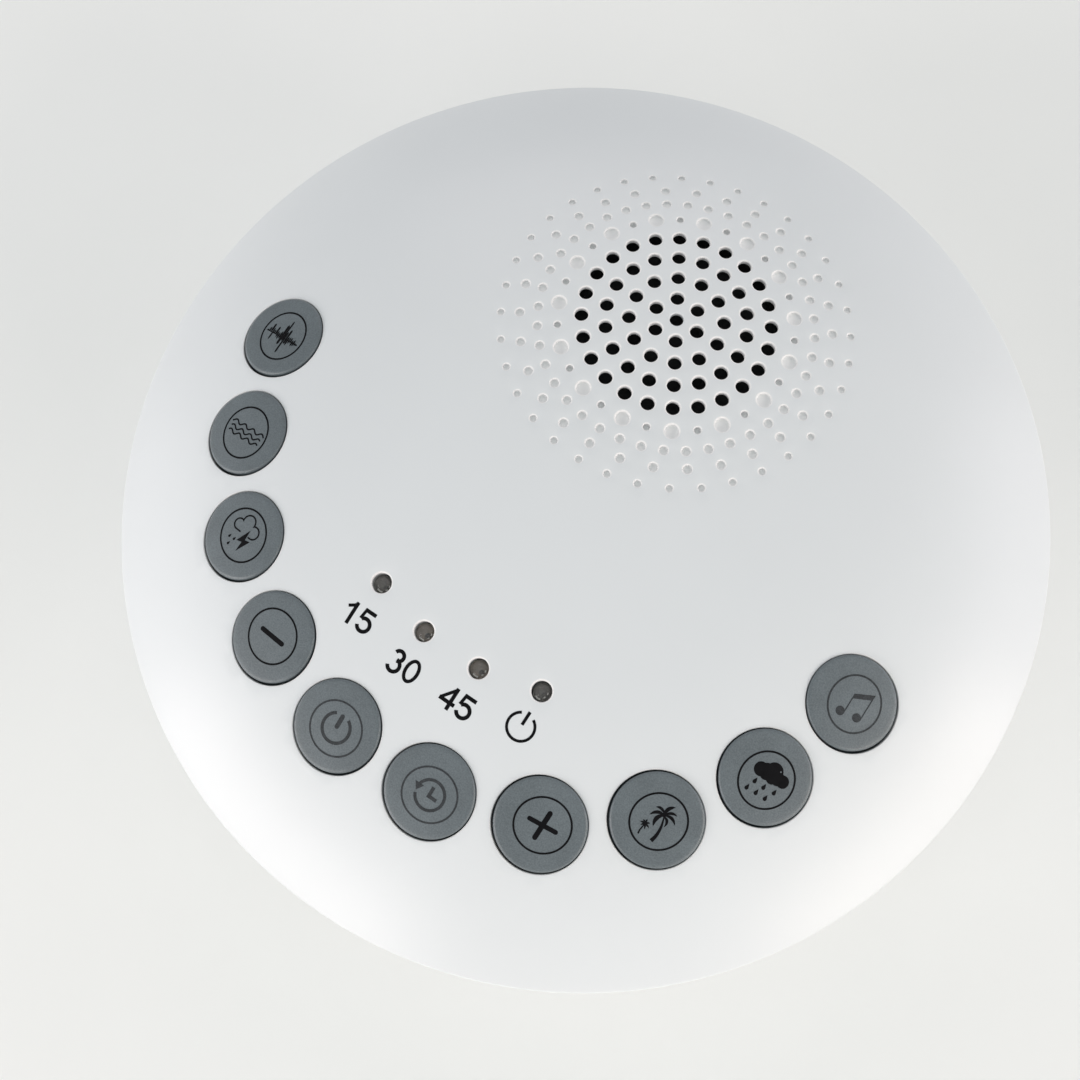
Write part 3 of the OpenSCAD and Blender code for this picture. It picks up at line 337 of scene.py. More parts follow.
# Name, colour, roughness, size of the grain, its relief, tone, size of the patches
white_abs = finish("white_abs", (0.712, 0.735, 0.750), 0.36, 0.5, 0.006, 0.012, 30)
shell_abs = finish("shell_abs", (0.705, 0.728, 0.743), 0.42, 0.45, 0.012, 0.015, 25)
# Painted shade: the dimple floors are darker than the white, standing in for the shade inside the
# dimples.
dimple_floor = finish("dimple_floor", (0.63, 0.63, 0.615), 0.5, 0.3, 0.008, 0.03, 3)
# Painted shade: near black for the wall deep in the slot round each button.
slot_shade = finish("slot_shade", (0.02, 0.021, 0.023), 0.7, 0.4, 0.01, 0.1, 3)
# Painted shade: the floors of the wide dimples are darker still, for the shade they hold.
wide_floor = finish("wide_floor", (0.48, 0.47, 0.45), 0.5, 0.3, 0.008, 0.04, 1.5)
# Painted shade with a brownish dust tint on the floors of the small deep dimples.
deep_floor = finish("deep_floor", (0.50, 0.46, 0.43), 0.6, 0.2, 0.01, 0.06, 2)
key_grey = finish("key_grey", (0.114, 0.136, 0.148), 0.42, 0.22, 0.022, 0.07, 5, speckle=0.2)
ink_black = finish("ink_black", (0.005, 0.005, 0.006), 0.6, 0.3, 0.006, 0.3, 2,
                   Specular_IOR_Level=0.06)
ink_worn = finish("ink_worn", (0.036, 0.040, 0.044), 0.6, 0.22, 0.006, 0.2, 1, speckle=0.35,
                  Specular_IOR_Level=0.2)
epoxy = finish("led_lens", (0.90, 0.88, 0.85), 0.05, 0.8, 0.001, 0.02, 1.2,
               IOR=1.5, Transmission_Weight=0.95)

# %% [markdown]
# ## Where the openings lie
# The grille is a set of rings round the speaker's axis: open holes inside, blind dimples of three
# sizes outside. Where the holes are open the moulding is thinner, so they look short and dark. The
# buttons and the lights lie on two arcs towards the front.

# %% The rings of openings
GRILLE_BACK = 30.5
RING_PITCH = 3.83
KEY_NAMES = (
    "white_noise", "ocean", "thunder", "volume_down", "power",
    "timer", "volume_up", "palms", "rain", "lullaby",
)
KEY_ARC, KEY_BACK, KEY_STEP, KEY_HOLE = 55.7, 2.1, 18.2, 7.45
LED_NAMES = ("15", "30", "45", "power")
LED_ARC, LED_BACK, LED_STEP, LED_HOLE = 41.3, 7.8, 14.2, 1.62


def arc_start(step, places):
    """First angle of a row that is centred on the front."""
    return -90 - step * (places - 1) / 2


OPEN_RINGS = 4
THIN_MARGIN = 2.2
THIN_WALL, THIN_REACH = 1.0, OPEN_RINGS * RING_PITCH + THIN_MARGIN
SHALLOW, DEEP = 0.5, 1.0
KEYS, LEDS = len(KEY_NAMES), len(LED_NAMES)
COVER_SIDES, RING_SIDES, POST_SIDES = 240, 96, 32
OPEN_HOLE = (1.13, 0.26, THIN_WALL, 20)

# (name, centre behind, ring radius, places, first angle, step, hole radius, lip, depth, sides)
RINGS = [("hole_0", GRILLE_BACK, 0.0, 1, 0.0, 0.0, *OPEN_HOLE)]
for n in range(1, OPEN_RINGS + 1):
    RINGS.append((f"hole_{n}", GRILLE_BACK, n * RING_PITCH, 6 * n, 0.0, 60 / n, *OPEN_HOLE))
RINGS += [
    ("dimple_5a", GRILLE_BACK, 5 * RING_PITCH, 15, 0.0, 24.0, 0.56, 0.2, DEEP, 16),
    ("dimple_5b", GRILLE_BACK, 5 * RING_PITCH, 15, 12.0, 24.0, 1.15, 0.25, SHALLOW, 20),
    ("dimple_6", GRILLE_BACK, 22.4, 40, 0.0, 9.0, 0.70, 0.22, SHALLOW, 16),
    ("dimple_7", GRILLE_BACK, 25.3, 30, 6.0, 12.0, 0.70, 0.22, SHALLOW, 16),
    ("dimple_8", GRILLE_BACK, 28.4, 36, 0.0, 10.0, 0.55, 0.2, SHALLOW, 16),
    ("keyhole", KEY_BACK, KEY_ARC, KEYS, arc_start(KEY_STEP, KEYS), KEY_STEP,
     KEY_HOLE, 0.22, COVER_WALL, RING_SIDES),
    ("ledhole", LED_BACK, LED_ARC, LEDS, arc_start(LED_STEP, LEDS), LED_STEP,
     LED_HOLE, 0.25, COVER_WALL, 32),
]


def places(ring):
    """Plan positions of a ring's openings."""
    _, back, radius, count, first, step = ring[:6]
    return [around(0.0, back, radius, radians(first + step * k)) for k in range(count)]


# %% [markdown]
# ## The cover's skin
# Cutting two hundred holes with booleans would leave long thin faces that shade badly. A flat
# triangulation that knows every hole's outline gives even faces instead, and filling points let
# it bend evenly. It makes the outer skin, the inner skin and the thin part under the open holes.


# %% A flat sheet with round openings
SHEET_EDGE, FILLING = -1, -2
MERGE_WITHIN = 1e-6


def flat_sheet(name, openings, edge, edge_sides, spacing, height, flip=False, back=0.0):
    """Triangulated disc in mm with openings (x, y, radius, sides), at one height over the skin.

    Each point has an owner: the number of its opening, the sheet's edge or the filling.
    """
    points, edges, owner = [], [], []

    def circle(x, y, radius, sides, who):
        first = len(points)
        for k in range(sides):
            points.append(Vector(around(x, y, radius, tau * k / sides)))
            edges.append((first + k, first + (k + 1) % sides))
            owner.append(who)

    circle(0, back, edge, edge_sides, SHEET_EDGE)
    for who, (x, y, radius, sides) in enumerate(openings):
        circle(x, y, radius, sides, who)
    ring, near = 0, 0.3 * spacing
    while ring * spacing < edge - 2 * near:
        count = max(1, round(tau * ring))
        for k in range(count):
            turn = tau * (k + 0.5 * (ring % 2)) / count
            x, y = around(0.0, back, ring * spacing, turn)
            if all(hypot(x - ox, y - oy) > radius + near for ox, oy, radius, _ in openings):
                points.append(Vector((x, y)))
                owner.append(FILLING)
        ring += 1
    found, _, triangles, origin, _, _ = delaunay_2d_cdt(points, edges, [], 0, MERGE_WITHIN)
    who = [owner[ids[0]] if ids else FILLING for ids in origin]
    kept = []
    for a, b, c in triangles:
        if who[a] == who[b] == who[c] and who[a] >= 0:
            continue
        kept.append((c, b, a) if flip else (a, b, c))
    mesh = bpy.data.meshes.new(name)
    mesh.from_pydata([(p.x * MM, p.y * MM, height * MM) for p in found], [], kept)
    return mesh


# %% Outer and inner skin, draped
FINE, COARSE = 2.0, 3.0
outer_openings, thin_openings = [], []
inner_openings = [(0, GRILLE_BACK, THIN_REACH, RING_SIDES)]
for ring in RINGS:
    radius, lip, depth, sides = ring[6:]
    outer_openings += [(x, y, radius + lip, sides) for x, y in places(ring)]
    if ring[0].startswith("hole"):
        thin_openings += [(x, y, radius, sides) for x, y in places(ring)]
    elif depth == COVER_WALL:
        inner_openings += [(x, y, radius, sides) for x, y in places(ring)]
INNER_EDGE = COVER_RADIUS - COVER_WALL
flats = [
    flat_sheet("outer_skin", outer_openings, skin_edge, COVER_SIDES, FINE, 0.0),
    flat_sheet("inner_skin", inner_openings, INNER_EDGE, COVER_SIDES, COARSE, -COVER_WALL,
               flip=True),
    flat_sheet("thin_skin", thin_openings, THIN_REACH, RING_SIDES, FINE, -THIN_WALL,
               flip=True, back=GRILLE_BACK),
    lathe("thin_edge", [(THIN_REACH, -THIN_WALL), (THIN_REACH, -COVER_WALL)], RING_SIDES,
          (0, GRILLE_BACK)),
]
skins = [grow(flat.name, drape_tree, flat, Material=white_abs) for flat in flats]

# %% [markdown]
# ## Lips and walls of the openings
# Every moulded opening has a rounded lip, which catches the light as a pale halo, and an upright
# wall. One small cup is turned for each size. A node tree sets a copy on every place of its ring
# and drapes them all, so each wall stays upright while its lip follows the dome. The floors of
# the dimples are painted darker as shade, the small deep ones also with a brownish dust tint, and
# the wall deep in the slot round each button is painted near black as shade.

# %% The tree that repeats a cup round a ring
ringing = Recipe(
    "Ring of openings", Cup="Object", Places="Int", Radius="Float", Back="Float",
    First="Float", Step="Float", Material="Material",
)
entry = ringing.start.outputs
line = ringing.add("GeometryNodeMeshLine", entry["Places"])
number = ringing.add("GeometryNodeInputIndex").outputs[0]
turn = ringing.math("ADD", ringing.math("MULTIPLY", number, entry["Step"]), entry["First"])
across = ringing.math("MULTIPLY", ringing.math("COSINE", turn), entry["Radius"])
along = ringing.math("MULTIPLY", ringing.math("SINE", turn), entry["Radius"])
spot = ringing.vector(across, ringing.math("ADD", along, entry["Back"]), 0.0)
posts = ringing.add("GeometryNodeSetPosition", line.outputs[0], None, spot).outputs[0]
cup_geometry = ringing.add("GeometryNodeObjectInfo", entry["Cup"]).outputs["Geometry"]
copies = ringing.add("GeometryNodeInstanceOnPoints", posts, None, cup_geometry).outputs[0]
real_cups = ringing.add("GeometryNodeRealizeInstances", copies).outputs[0]
ring_tree = ringing.finish(drape(ringing, real_cups), entry["Material"])

# %% Grow all lips and walls
# The floor finishes are painted shade; the one for the small deep dimples also has a dust tint.
FLOORS = {"dimple_5a": deep_floor, "dimple_5b": wide_floor}
FLOOR_EASE = 0.1
SLOT_DEPTH = 0.25
cup_meshes = []
for name, back, radius, count, first, step, size, lip, depth, sides in RINGS:
    shapes = [(rounding(size, lip) + [(size, -depth)], white_abs)]
    if name.startswith("dimple"):
        foot = size - FLOOR_EASE
        shapes[0][0][-1:] = [(size, FLOOR_EASE - depth), (foot, -depth)]
        shapes.append(([(foot, -depth), (0, -depth)], FLOORS.get(name, dimple_floor)))
    # Below SLOT_DEPTH the keyhole wall gets the near-black painted shade.
    if name == "keyhole":
        shapes[0][0][-1:] = [(size, -SLOT_DEPTH)]
        shapes.append(([(size, -SLOT_DEPTH), (size, -depth)], slot_shade))
    for profile, material in shapes:
        cup = put(name + "_cup", lathe(name + "_cup", profile, sides))
        cup_meshes.append(grow(
            name, ring_tree, Cup=cup, Places=count, Radius=radius * MM, Back=back * MM,
            First=radians(first), Step=radians(step), Material=material,
        ))
        bpy.data.objects.remove(cup)

# %% [markdown]
# ## The rim, and the cover as one closed shell
# The rim is a small round over a straight skirt, and the inside wall comes back up to the inner
# skin. With the skins and the cups it welds into one watertight moulding.

# %% Turn the rim and weld the cover
SEAM_EASE = 0.2
RIM_STEPS = 8
rim_profile = [(skin_edge, dome(skin_edge, 0))]
for k in range(1, RIM_STEPS + 1):
    lean = rim_lean + (pi / 2 - rim_lean) * k / RIM_STEPS
    reach = rim_reach + RIM_ROUND * sin(lean)
    rim_profile.append((reach, rim_level + RIM_ROUND * cos(lean)))
rim_profile += [
    (COVER_RADIUS, seam_level + SEAM_EASE), (COVER_RADIUS - SEAM_EASE, seam_level),
    (INNER_EDGE, seam_level), (INNER_EDGE, dome(INNER_EDGE, 0, -COVER_WALL)),
]
rim = lathe("rim", rim_profile, COVER_SIDES)
rim.materials.append(white_abs)
cover = weld("cover", [*skins, rim, *cup_meshes], smooth_below=50)
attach(cover, "case")
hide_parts("top_cover")

# %% [markdown]
# ## Bosses under the cover
# Screw bosses, board posts and the speaker's round seat are moulded to the cover's inside. The
# closed case hides them, so turned tubes are enough.

# %% Posts, bosses and the speaker's seat
BOARD_DEPTH, SEAT_RISE, FLANGE_DROP = 13.5, 9.3, 1.6
BOARD_LEVEL = dome(KEY_ARC, 0) - BOARD_DEPTH
SEAT_LEVEL = BOARD_LEVEL + SEAT_RISE
FLANGE_LEVEL = SEAT_LEVEL - FLANGE_DROP
SEAT_OUTER, SEAT_INNER = 25.0, 23.2
POST_ARC = KEY_ARC + 7
SCREW_RING = 27.4
post_x, post_y = around(0.0, KEY_BACK, POST_ARC, radians(KEY_STEP - 90))
speaker_spots = [
    around(0.0, GRILLE_BACK, SCREW_RING, radians(turn)) for turn in (30, 150, 270)
]
# (spots, low end, outer radius, radius of the bore, its length)
BOSSES = [
    (((34, -17), (-34, -17), (42, 34), (-42, 34)), 16.0, 3.5, 1.35, 12),
    (((post_x, post_y), (-post_x, post_y), (30, -2.5), (-30, -2.5)), BOARD_LEVEL, 2.5, 1.1, 4.4),
    (speaker_spots, FLANGE_LEVEL, 2.5, 1.1, 5.2),
]


def boss(spot, low, outer, bore, length):
    """Closed tube under the cover, from low up into the wall, with a blind bore."""
    top = low + length
    profile = [(0, top), (bore, top), (bore, low), (outer, low), (outer, None), (0, None)]
    return lathe("boss", profile, POST_SIDES, centre=spot)


bosses = [boss(spot, *measures) for spots, *measures in BOSSES for spot in spots]
seat = [
    (SEAT_OUTER, SEAT_LEVEL), (SEAT_OUTER, None), (SEAT_INNER, None), (SEAT_INNER, SEAT_LEVEL),
]
bosses.append(lathe("seat", seat, RING_SIDES, centre=(0, GRILLE_BACK), closed=True))
bosses[0].materials.append(white_abs)
cover_bosses = weld("cover_bosses", bosses)
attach(cover_bosses, "case")

# %% [markdown]
# ## Ten buttons
# Each button is a hollow cap whose top follows the dome 0.4 mm proud of the skin. Its edge is
# rounded, its wall runs down through the hole, and a flange under the cover keeps it in. Loose
# caps don't sit in the middle of their holes: each leans a tenth of a millimetre or so to one
# side, and the dark gap shows on the other.

# %% Caps with flange and stem
KEY_RADIUS = KEY_HOLE - 0.22
KEY_LEANS = (
    (0.01, 0.15), (0.0, 0.15), (0.03, 0.14), (-0.08, 0.12), (-0.03, 0.12),
    (0.07, 0.12), (0.09, 0.11), (0.12, 0.08), (0.02, 0.12), (-0.14, 0.08),
)
KEY_PROUD = 0.4
KEY_EDGE, EDGE_STEPS = 0.48, 6
KEY_WALL = 1.4
KEY_ROOF = KEY_PROUD - KEY_WALL
ROOF_EASE, FLANGE_EASE = 0.3, 0.1
FLANGE_RADIUS = KEY_RADIUS + 1
FLANGE_TOP = -COVER_WALL - 0.3
FLANGE_LOW = FLANGE_TOP - 1.2
STEM_RADIUS = 2.0
SWITCH_HEIGHT, PLUNGER_RISE = 3.6, 1.5
PLUNGER_TOP = BOARD_LEVEL + SWITCH_HEIGHT + PLUNGER_RISE


def cap_profile():
    """Outline of a cap from the middle of its top, round the flange, to the ceiling inside."""
    top = [(radius, KEY_PROUD) for radius in (0, 1.2, 2.4, 3.6, 4.8, 5.8, 6.3)]
    edge = [(KEY_RADIUS - KEY_EDGE, KEY_PROUD)]
    for k in range(1, EDGE_STEPS + 1):
        lean = pi / 2 * k / EDGE_STEPS
        radius = KEY_RADIUS - KEY_EDGE * (1 - sin(lean))
        edge.append((radius, KEY_PROUD - KEY_EDGE * (1 - cos(lean))))
    inner = KEY_RADIUS - KEY_WALL
    skirt = [
        (KEY_RADIUS, FLANGE_TOP), (FLANGE_RADIUS - FLANGE_EASE, FLANGE_TOP),
        (FLANGE_RADIUS, FLANGE_TOP - FLANGE_EASE), (FLANGE_RADIUS, FLANGE_LOW),
        (inner, FLANGE_LOW), (inner, KEY_ROOF - ROOF_EASE),
        (inner - ROOF_EASE, KEY_ROOF), (4, KEY_ROOF), (2, KEY_ROOF), (0, KEY_ROOF),
    ]
    return top + edge + skirt


key_places, led_places = places(RINGS[-2]), places(RINGS[-1])
for name, (x, y), (lean_x, lean_y) in zip(KEY_NAMES, key_places, KEY_LEANS):
    flat = lathe("cap_" + name, cap_profile(), RING_SIDES, centre=(x + lean_x, y + lean_y))
    draped = grow("cap_" + name, drape_tree, flat, Material=key_grey)
    ceiling = dome(x, y, KEY_PROUD - KEY_WALL / 2)
    outline = [
        (0, ceiling), (STEM_RADIUS, ceiling), (STEM_RADIUS, PLUNGER_TOP), (0, PLUNGER_TOP),
    ]
    stem = lathe("stem", outline, POST_SIDES, centre=(x, y))
    cap = weld("cap_" + name, [draped, stem])
    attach(cap, "key_" + name)
    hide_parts("button_" + name)

# %% [markdown]
# ## Printing as thin ink
# The symbols are films of ink that stand 0.02 mm over the surface. Each is a set of plain
# outlines: some add ink, some leave it out. The outlines are triangulated flat with a fine filling
# grid, so the film can bend, then given their thickness and draped like the rest.


# %% Outlines for the ink
def disc(x, y, radius, sides=64):
    """Round outline."""
    return [around(x, y, radius, tau * k / sides) for k in range(sides)]


def capsule(start, end, width):
    """Straight stroke with round ends."""
    lean = atan2(end[1] - start[1], end[0] - start[0])
    outline = []
    for (x, y), side in ((start, pi / 2), (end, -pi / 2)):
        outline += [around(x, y, width / 2, lean + side + pi * k / 8) for k in range(9)]
    return outline


def band(points, widths):
    """Stroke through points with square ends and a width at each point."""
    left, right = [], []
    for k, (x, y) in enumerate(points):
        before, after = points[max(k - 1, 0)], points[min(k + 1, len(points) - 1)]
        dx, dy = after[0] - before[0], after[1] - before[1]
        length = hypot(dx, dy)
        width = (widths[k] if isinstance(widths, (list, tuple)) else widths) / 2
        left.append((x - dy / length * width, y + dx / length * width))
        right.append((x + dy / length * width, y - dx / length * width))
    return left + right[::-1]


def bow(x, y, radius, start, end, width):
    """Stroke along an arc from one angle to another, in degrees."""
    steps = max(4, round(abs(end - start) / 7))
    turns = [radians(start + (end - start) * k / steps) for k in range(steps + 1)]
    return band([around(x, y, radius, t) for t in turns], width)


def drop(x, y, radius, height, lean):
    """Rain drop: a round foot with a point above, turned by lean degrees."""
    outline = [around(0.0, 0.0, radius, radians(160 + 220 * k / 12)) for k in range(13)]
    outline.append((0.0, height - radius))
    along, aside = cos(radians(lean)), sin(radians(lean))
    return [(x + px * along - py * aside, y + px * aside + py * along) for px, py in outline]


# %% From outlines to a film
def inside(x, y, outline):
    """Whether a point lies in an outline."""
    hit = False
    for (ax, ay), (bx, by) in zip(outline, outline[1:] + outline[:1]):
        if (ay > y) != (by > y) and x < (bx - ax) * (y - ay) / (by - ay) + ax:
            hit = not hit
    return hit


FILL = 0.9
INK_MERGE = 1e-5


def ink_sheet(name, add, leave, height, thickness):
    """Closed film of ink, drawn flat at a height over the skin."""
    points, edges = [], []
    for outline in add + leave:
        first, count = len(points), len(outline)
        points += [Vector(p) for p in outline]
        edges += [(first + k, first + (k + 1) % count) for k in range(count)]
    xs, ys = zip(*(point for outline in add for point in outline))
    for row in range(int((max(ys) - min(ys)) / FILL) + 1):
        for column in range(int((max(xs) - min(xs)) / FILL) + 1):
            x = min(xs) + FILL * (column + 0.37 + 0.5 * (row % 2))
            y = min(ys) + FILL * (row + 0.41)
            if any(inside(x, y, outline) for outline in add):
                points.append(Vector((x, y)))
    found, _, triangles, _, _, _ = delaunay_2d_cdt(points, edges, [], 0, INK_MERGE)
    kept = []
    for face in triangles:
        x = sum(found[k].x for k in face) / 3
        y = sum(found[k].y for k in face) / 3
        if any(inside(x, y, o) for o in add) and not any(inside(x, y, o) for o in leave):
            kept.append(face)
    shape = bmesh.new()
    verts = [shape.verts.new((p.x * MM, p.y * MM, height * MM)) for p in found]
    for face in kept:
        shape.faces.new([verts[k] for k in face])
    loose = [vert for vert in shape.verts if not vert.link_faces]
    bmesh.ops.delete(shape, geom=loose, context="VERTS")
    grown = bmesh.ops.extrude_face_region(shape, geom=shape.faces[:])
    top = [item for item in grown["geom"] if isinstance(item, bmesh.types.BMVert)]
    bmesh.ops.translate(shape, verts=top, vec=(0, 0, thickness * MM))
    mesh = bpy.data.meshes.new(name)
    shape.to_mesh(mesh)
    shape.free()
    return mesh


# %% [markdown]
# ## The symbols on the buttons
# Every button carries a thin ring and a common symbol, written in mm from the ring's middle.

# %% Sound wave and sea waves
def sound_wave():
    """Upright bars (place, top, bottom, width) that grow to the middle, with blunt points."""
    bars = [
        (-3.4, -0.1, -0.44, 0.44), (-3.05, 0.48, -0.4, 0.3), (-2.66, 1.3, -0.32, 0.36),
        (-2.28, 0.56, -1.7, 0.27), (-1.93, 0.32, -0.4, 0.28), (-1.54, 1.15, -0.4, 0.36),
        (-1.18, 0.4, -0.78, 0.27), (-0.84, 0.25, -1.0, 0.3), (-0.49, 0.66, -0.8, 0.27),
        (-0.1, 2.08, -1.75, 0.46), (0.29, 3.05, -0.9, 0.28), (0.6, 1.0, -3.15, 0.31),
        (1.0, 1.57, -1.2, 0.38), (1.37, 0.35, -1.3, 0.28), (1.72, 0.38, -0.8, 0.27),
        (2.07, 0.45, -0.58, 0.28), (2.42, 0.15, -1.0, 0.29), (2.78, 0.32, -0.85, 0.31),
        (3.12, -0.1, -0.62, 0.29), (3.42, -0.2, -0.52, 0.34),
    ]
    shapes = []
    for x, top, low, width in bars:
        half, tip = width / 2, min(0.3, (top - low) / 3)
        shapes.append([
            (x - half, low + tip), (x - half, top - tip), (x - half / 3, top), (x + half / 3, top),
            (x + half, top - tip), (x + half, low + tip), (x + half / 3, low), (x - half / 3, low),
        ])
    shapes.append([
        (-3.85, -0.33), (-3.2, -0.22), (3.2, -0.24), (3.78, -0.38), (3.2, -0.42), (-3.2, -0.4),
    ])
    return shapes, []


def sea_waves():
    """Three lines of waves: (height, left end, right end)."""
    swell, length, start, steps = 0.28, 1.95, 3.35, 60
    shapes = []
    for height, left, right in ((0.87, -3.65, 3.65), (-0.1, -3.35, 3.4), (-0.95, -3.35, 3.4)):
        across = [left + (right - left) * k / steps for k in range(steps + 1)]
        points = [(x, height + swell * sin(tau * (x + start) / length)) for x in across]
        shapes.append(band(points, 0.26))
    return shapes, []


# %% Clouds and weather
def thunder_cloud():
    """Outline of a cloud with a gap below, and a bolt and drops as a group of their own."""
    lobes = [(-1.72, 1.2, 0.92), (-0.2, 2.2, 1.18), (1.45, 1.15, 1.05)]
    line = 0.13
    add = [disc(x, y, r + line) for x, y, r in lobes]
    add.append([(-1.72, 0.15), (1.45, -0.03), (1.45, 2.2), (-1.72, 2.2)])
    leave = [disc(x, y, r - line) for x, y, r in lobes]
    leave.append([(-1.7, 0.41), (1.45, 0.23), (1.3, 1.8), (-1.5, 1.8)])
    leave.append([(-0.75, -0.4), (0.95, -0.4), (0.95, 0.9), (-0.75, 0.9)])
    bolt = [(0.8, 1.3), (-0.62, -1.25), (0.42, -1.02), (0.25, -2.8), (1.78, -0.35), (0.78, -0.52)]
    spots = ((-2.2, -1.35), (-1.15, -1.35), (-1.72, -2.45))
    return add, leave, [bolt] + [drop(x, y, 0.21, 0.72, -25) for x, y in spots]


def rain_cloud():
    """Filled cloud with one glint over six drops."""
    lobes = (
        (-1.62, 0.94, 1.12), (-0.75, 1.3, 1.08), (0.3, 1.7, 1.4), (2.18, 1.14, 1.0),
        (1.3, 1.1, 1.1), (0.5, 0.7, 0.95), (-0.6, 0.7, 0.9),
    )
    spots = ((-1.45, -1.15), (0.2, -1.2), (2.0, -1.0), (-1.95, -2.6), (-0.35, -2.5), (1.3, -2.45))
    shapes = [disc(*lobe) for lobe in lobes] + [drop(x, y, 0.31, 1.02, -4) for x, y in spots]
    return shapes, [disc(1.16, 2.22, 0.13, 12)]


# %% Plus, minus, power and clock
OPEN_TOP = (119, 421)


def minus():
    return [capsule((-2.12, 0.12), (2.1, -0.14), 0.78)], []


def plus():
    return [capsule((0.0, -2.15), (0.0, 2.1), 0.8), capsule((-2.2, -0.2), (2.2, 0.24), 0.72)], []


def power_mark():
    return [bow(0, 0.1, 2.33, *OPEN_TOP, 0.52), capsule((0, 0.35), (0, 2.12), 0.74)], []


def clock():
    """Open circle with an arrow head at its left end, and two hands."""
    circle, head = bow(0.08, 0.0, 2.33, 165, -158, 0.48), [(-3.0, 0.7), (-1.4, 0.7), (-2.2, -0.5)]
    hands = [band([(0.0, 1.35), (0.0, -0.49)], 0.56), band([(-0.28, -0.2), (1.4, -0.2)], 0.56)]
    return [circle, head] + hands, []


# %% Palms and notes
LEAF_TIP = 0.03


def leaf(start, bend, tip, width):
    """Curved leaf from its root to its tip, drawn towards a point of bend."""
    points, widths = [], []
    for k in range(10):
        t = k / 9
        points.append(tuple((1 - t) ** 2 * a + 2 * t * (1 - t) * b + t * t * c
                            for a, b, c in zip(start, bend, tip)))
        widths.append(width * (0.35 + 2.3 * t - 2.6 * t * t))
    widths[-1] = LEAF_TIP
    return band(points, widths)


def palm_trees():
    """A tall palm with seven curved leaves and a small one to its left."""
    trunk = [
        (0.3, 1.0), (0.5, 0.4), (0.68, -0.2), (0.8, -0.9), (0.84, -1.6), (0.77, -2.3), (0.6, -3.0),
    ]
    shapes = [band(trunk, [0.2, 0.26, 0.34, 0.42, 0.48, 0.54, 0.62])]
    for start, bend, tip, width in (
        ((0.05, 1.3), (-0.05, 2.55), (0.97, 3.14), 0.66),
        ((0.2, 1.4), (0.95, 2.4), (1.87, 2.16), 0.5),
        ((0.3, 1.3), (1.5, 1.85), (2.3, 0.86), 0.56),
        ((0.3, 1.05), (1.35, 0.95), (1.1, -0.24), 0.5),
        ((0.0, 1.5), (-0.85, 2.15), (-1.55, 1.58), 0.5),
        ((0.0, 1.25), (-1.15, 1.4), (-1.74, 0.13), 0.6),
        ((0.0, 1.1), (-0.98, 0.3), (-0.34, -1.02), 0.76),
    ):
        shapes.append(leaf(start, bend, tip, width))
    shapes.append(disc(0.12, 1.3, 0.36, 16))
    small = (-1.56, -1.35)
    trunk = [small, (-1.63, -1.97), (-1.7, -2.55), (-1.62, -3.17)]
    shapes.append(band(trunk, [0.16, 0.19, 0.22, 0.28]))
    for x, y in (
        (-1.63, -0.64), (-0.95, -0.92), (-0.7, -1.62), (-1.17, -2.14), (-2.02, -1.9),
        (-2.35, -1.48), (-2.14, -0.98),
    ):
        bend = ((x + small[0]) / 2 + 0.02, (y + small[1]) / 2 + 0.12)
        shapes.append(leaf(small, bend, (x, y), 0.33))
    shapes.append(disc(*small, 0.2, 12))
    return shapes, []


def notes():
    shapes = [disc(-1.4, -2.1, 0.72, 32), disc(1.35, -1.55, 0.7, 32)]
    shapes.append(band([(-0.78, -2.1), (-0.78, 1.0)], 0.2))
    shapes.append(band([(2.0, -1.6), (2.0, 2.6)], 0.2))
    shapes.append([(-0.88, 1.3), (2.1, 2.95), (2.1, 2.05), (-0.88, 0.45)])
    return shapes, []


# %% Print every button
# (symbol, ink, how far the print lies off the middle of its button)
PRINT_RING, RING_LINE = 4.42, 0.3
PRINTS = {
    "white_noise": (sound_wave(), ink_black, (0.22, 0.17)),
    "ocean": (sea_waves(), ink_black, (0.02, -0.08)),
    "thunder": (thunder_cloud(), ink_black, (0.17, 0.19)),
    "volume_down": (minus(), ink_black, (-0.07, 0.19)),
    "power": (power_mark(), ink_worn, (0.13, -0.24)),
    "timer": (clock(), ink_worn, (0.39, -0.22)),
    "volume_up": (plus(), ink_black, (0.44, 0.26)),
    "palms": (palm_trees(), ink_black, (0.38, 0.04)),
    "rain": (rain_cloud(), ink_black, (0.3, -0.18)),
    "lullaby": (notes(), ink_worn, (0.2, 0.06)),
}
INK = 0.02


def moved(outlines, x, y):
    """Outlines shifted to a place on the cover."""
    return [[(px + x, py + y) for px, py in outline] for outline in outlines]


def print_on(name, groups, x, y, height, ink, body):
    """Makes one piece of ink from groups of (add, leave) outlines and lets it ride on a body."""
    films = []
    for add, leave in groups:
        flat = ink_sheet(name, moved(add, x, y), moved(leave, x, y), height - INK / 2, 1.5 * INK)
        films.append(grow(name, drape_tree, flat, Material=ink))
    piece = weld(name, films, join_within=0.0, smooth_below=60)
    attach(piece, body)


def tilted_disc(radius, x, y):
    """Circle on the sloping top of a button, as it looks from straight above: a slight ellipse."""
    reach = hypot(x, y)
    squeeze = sqrt(1 - ((reach - shoulder_reach) / SHOULDER_RADIUS) ** 2)
    out_x, out_y = x / reach, y / reach
    outline = []
    for px, py in disc(0, 0, radius, 128):
        cut = (px * out_x + py * out_y) * (1 - squeeze)
        outline.append((px - cut * out_x, py - cut * out_y))
    return outline


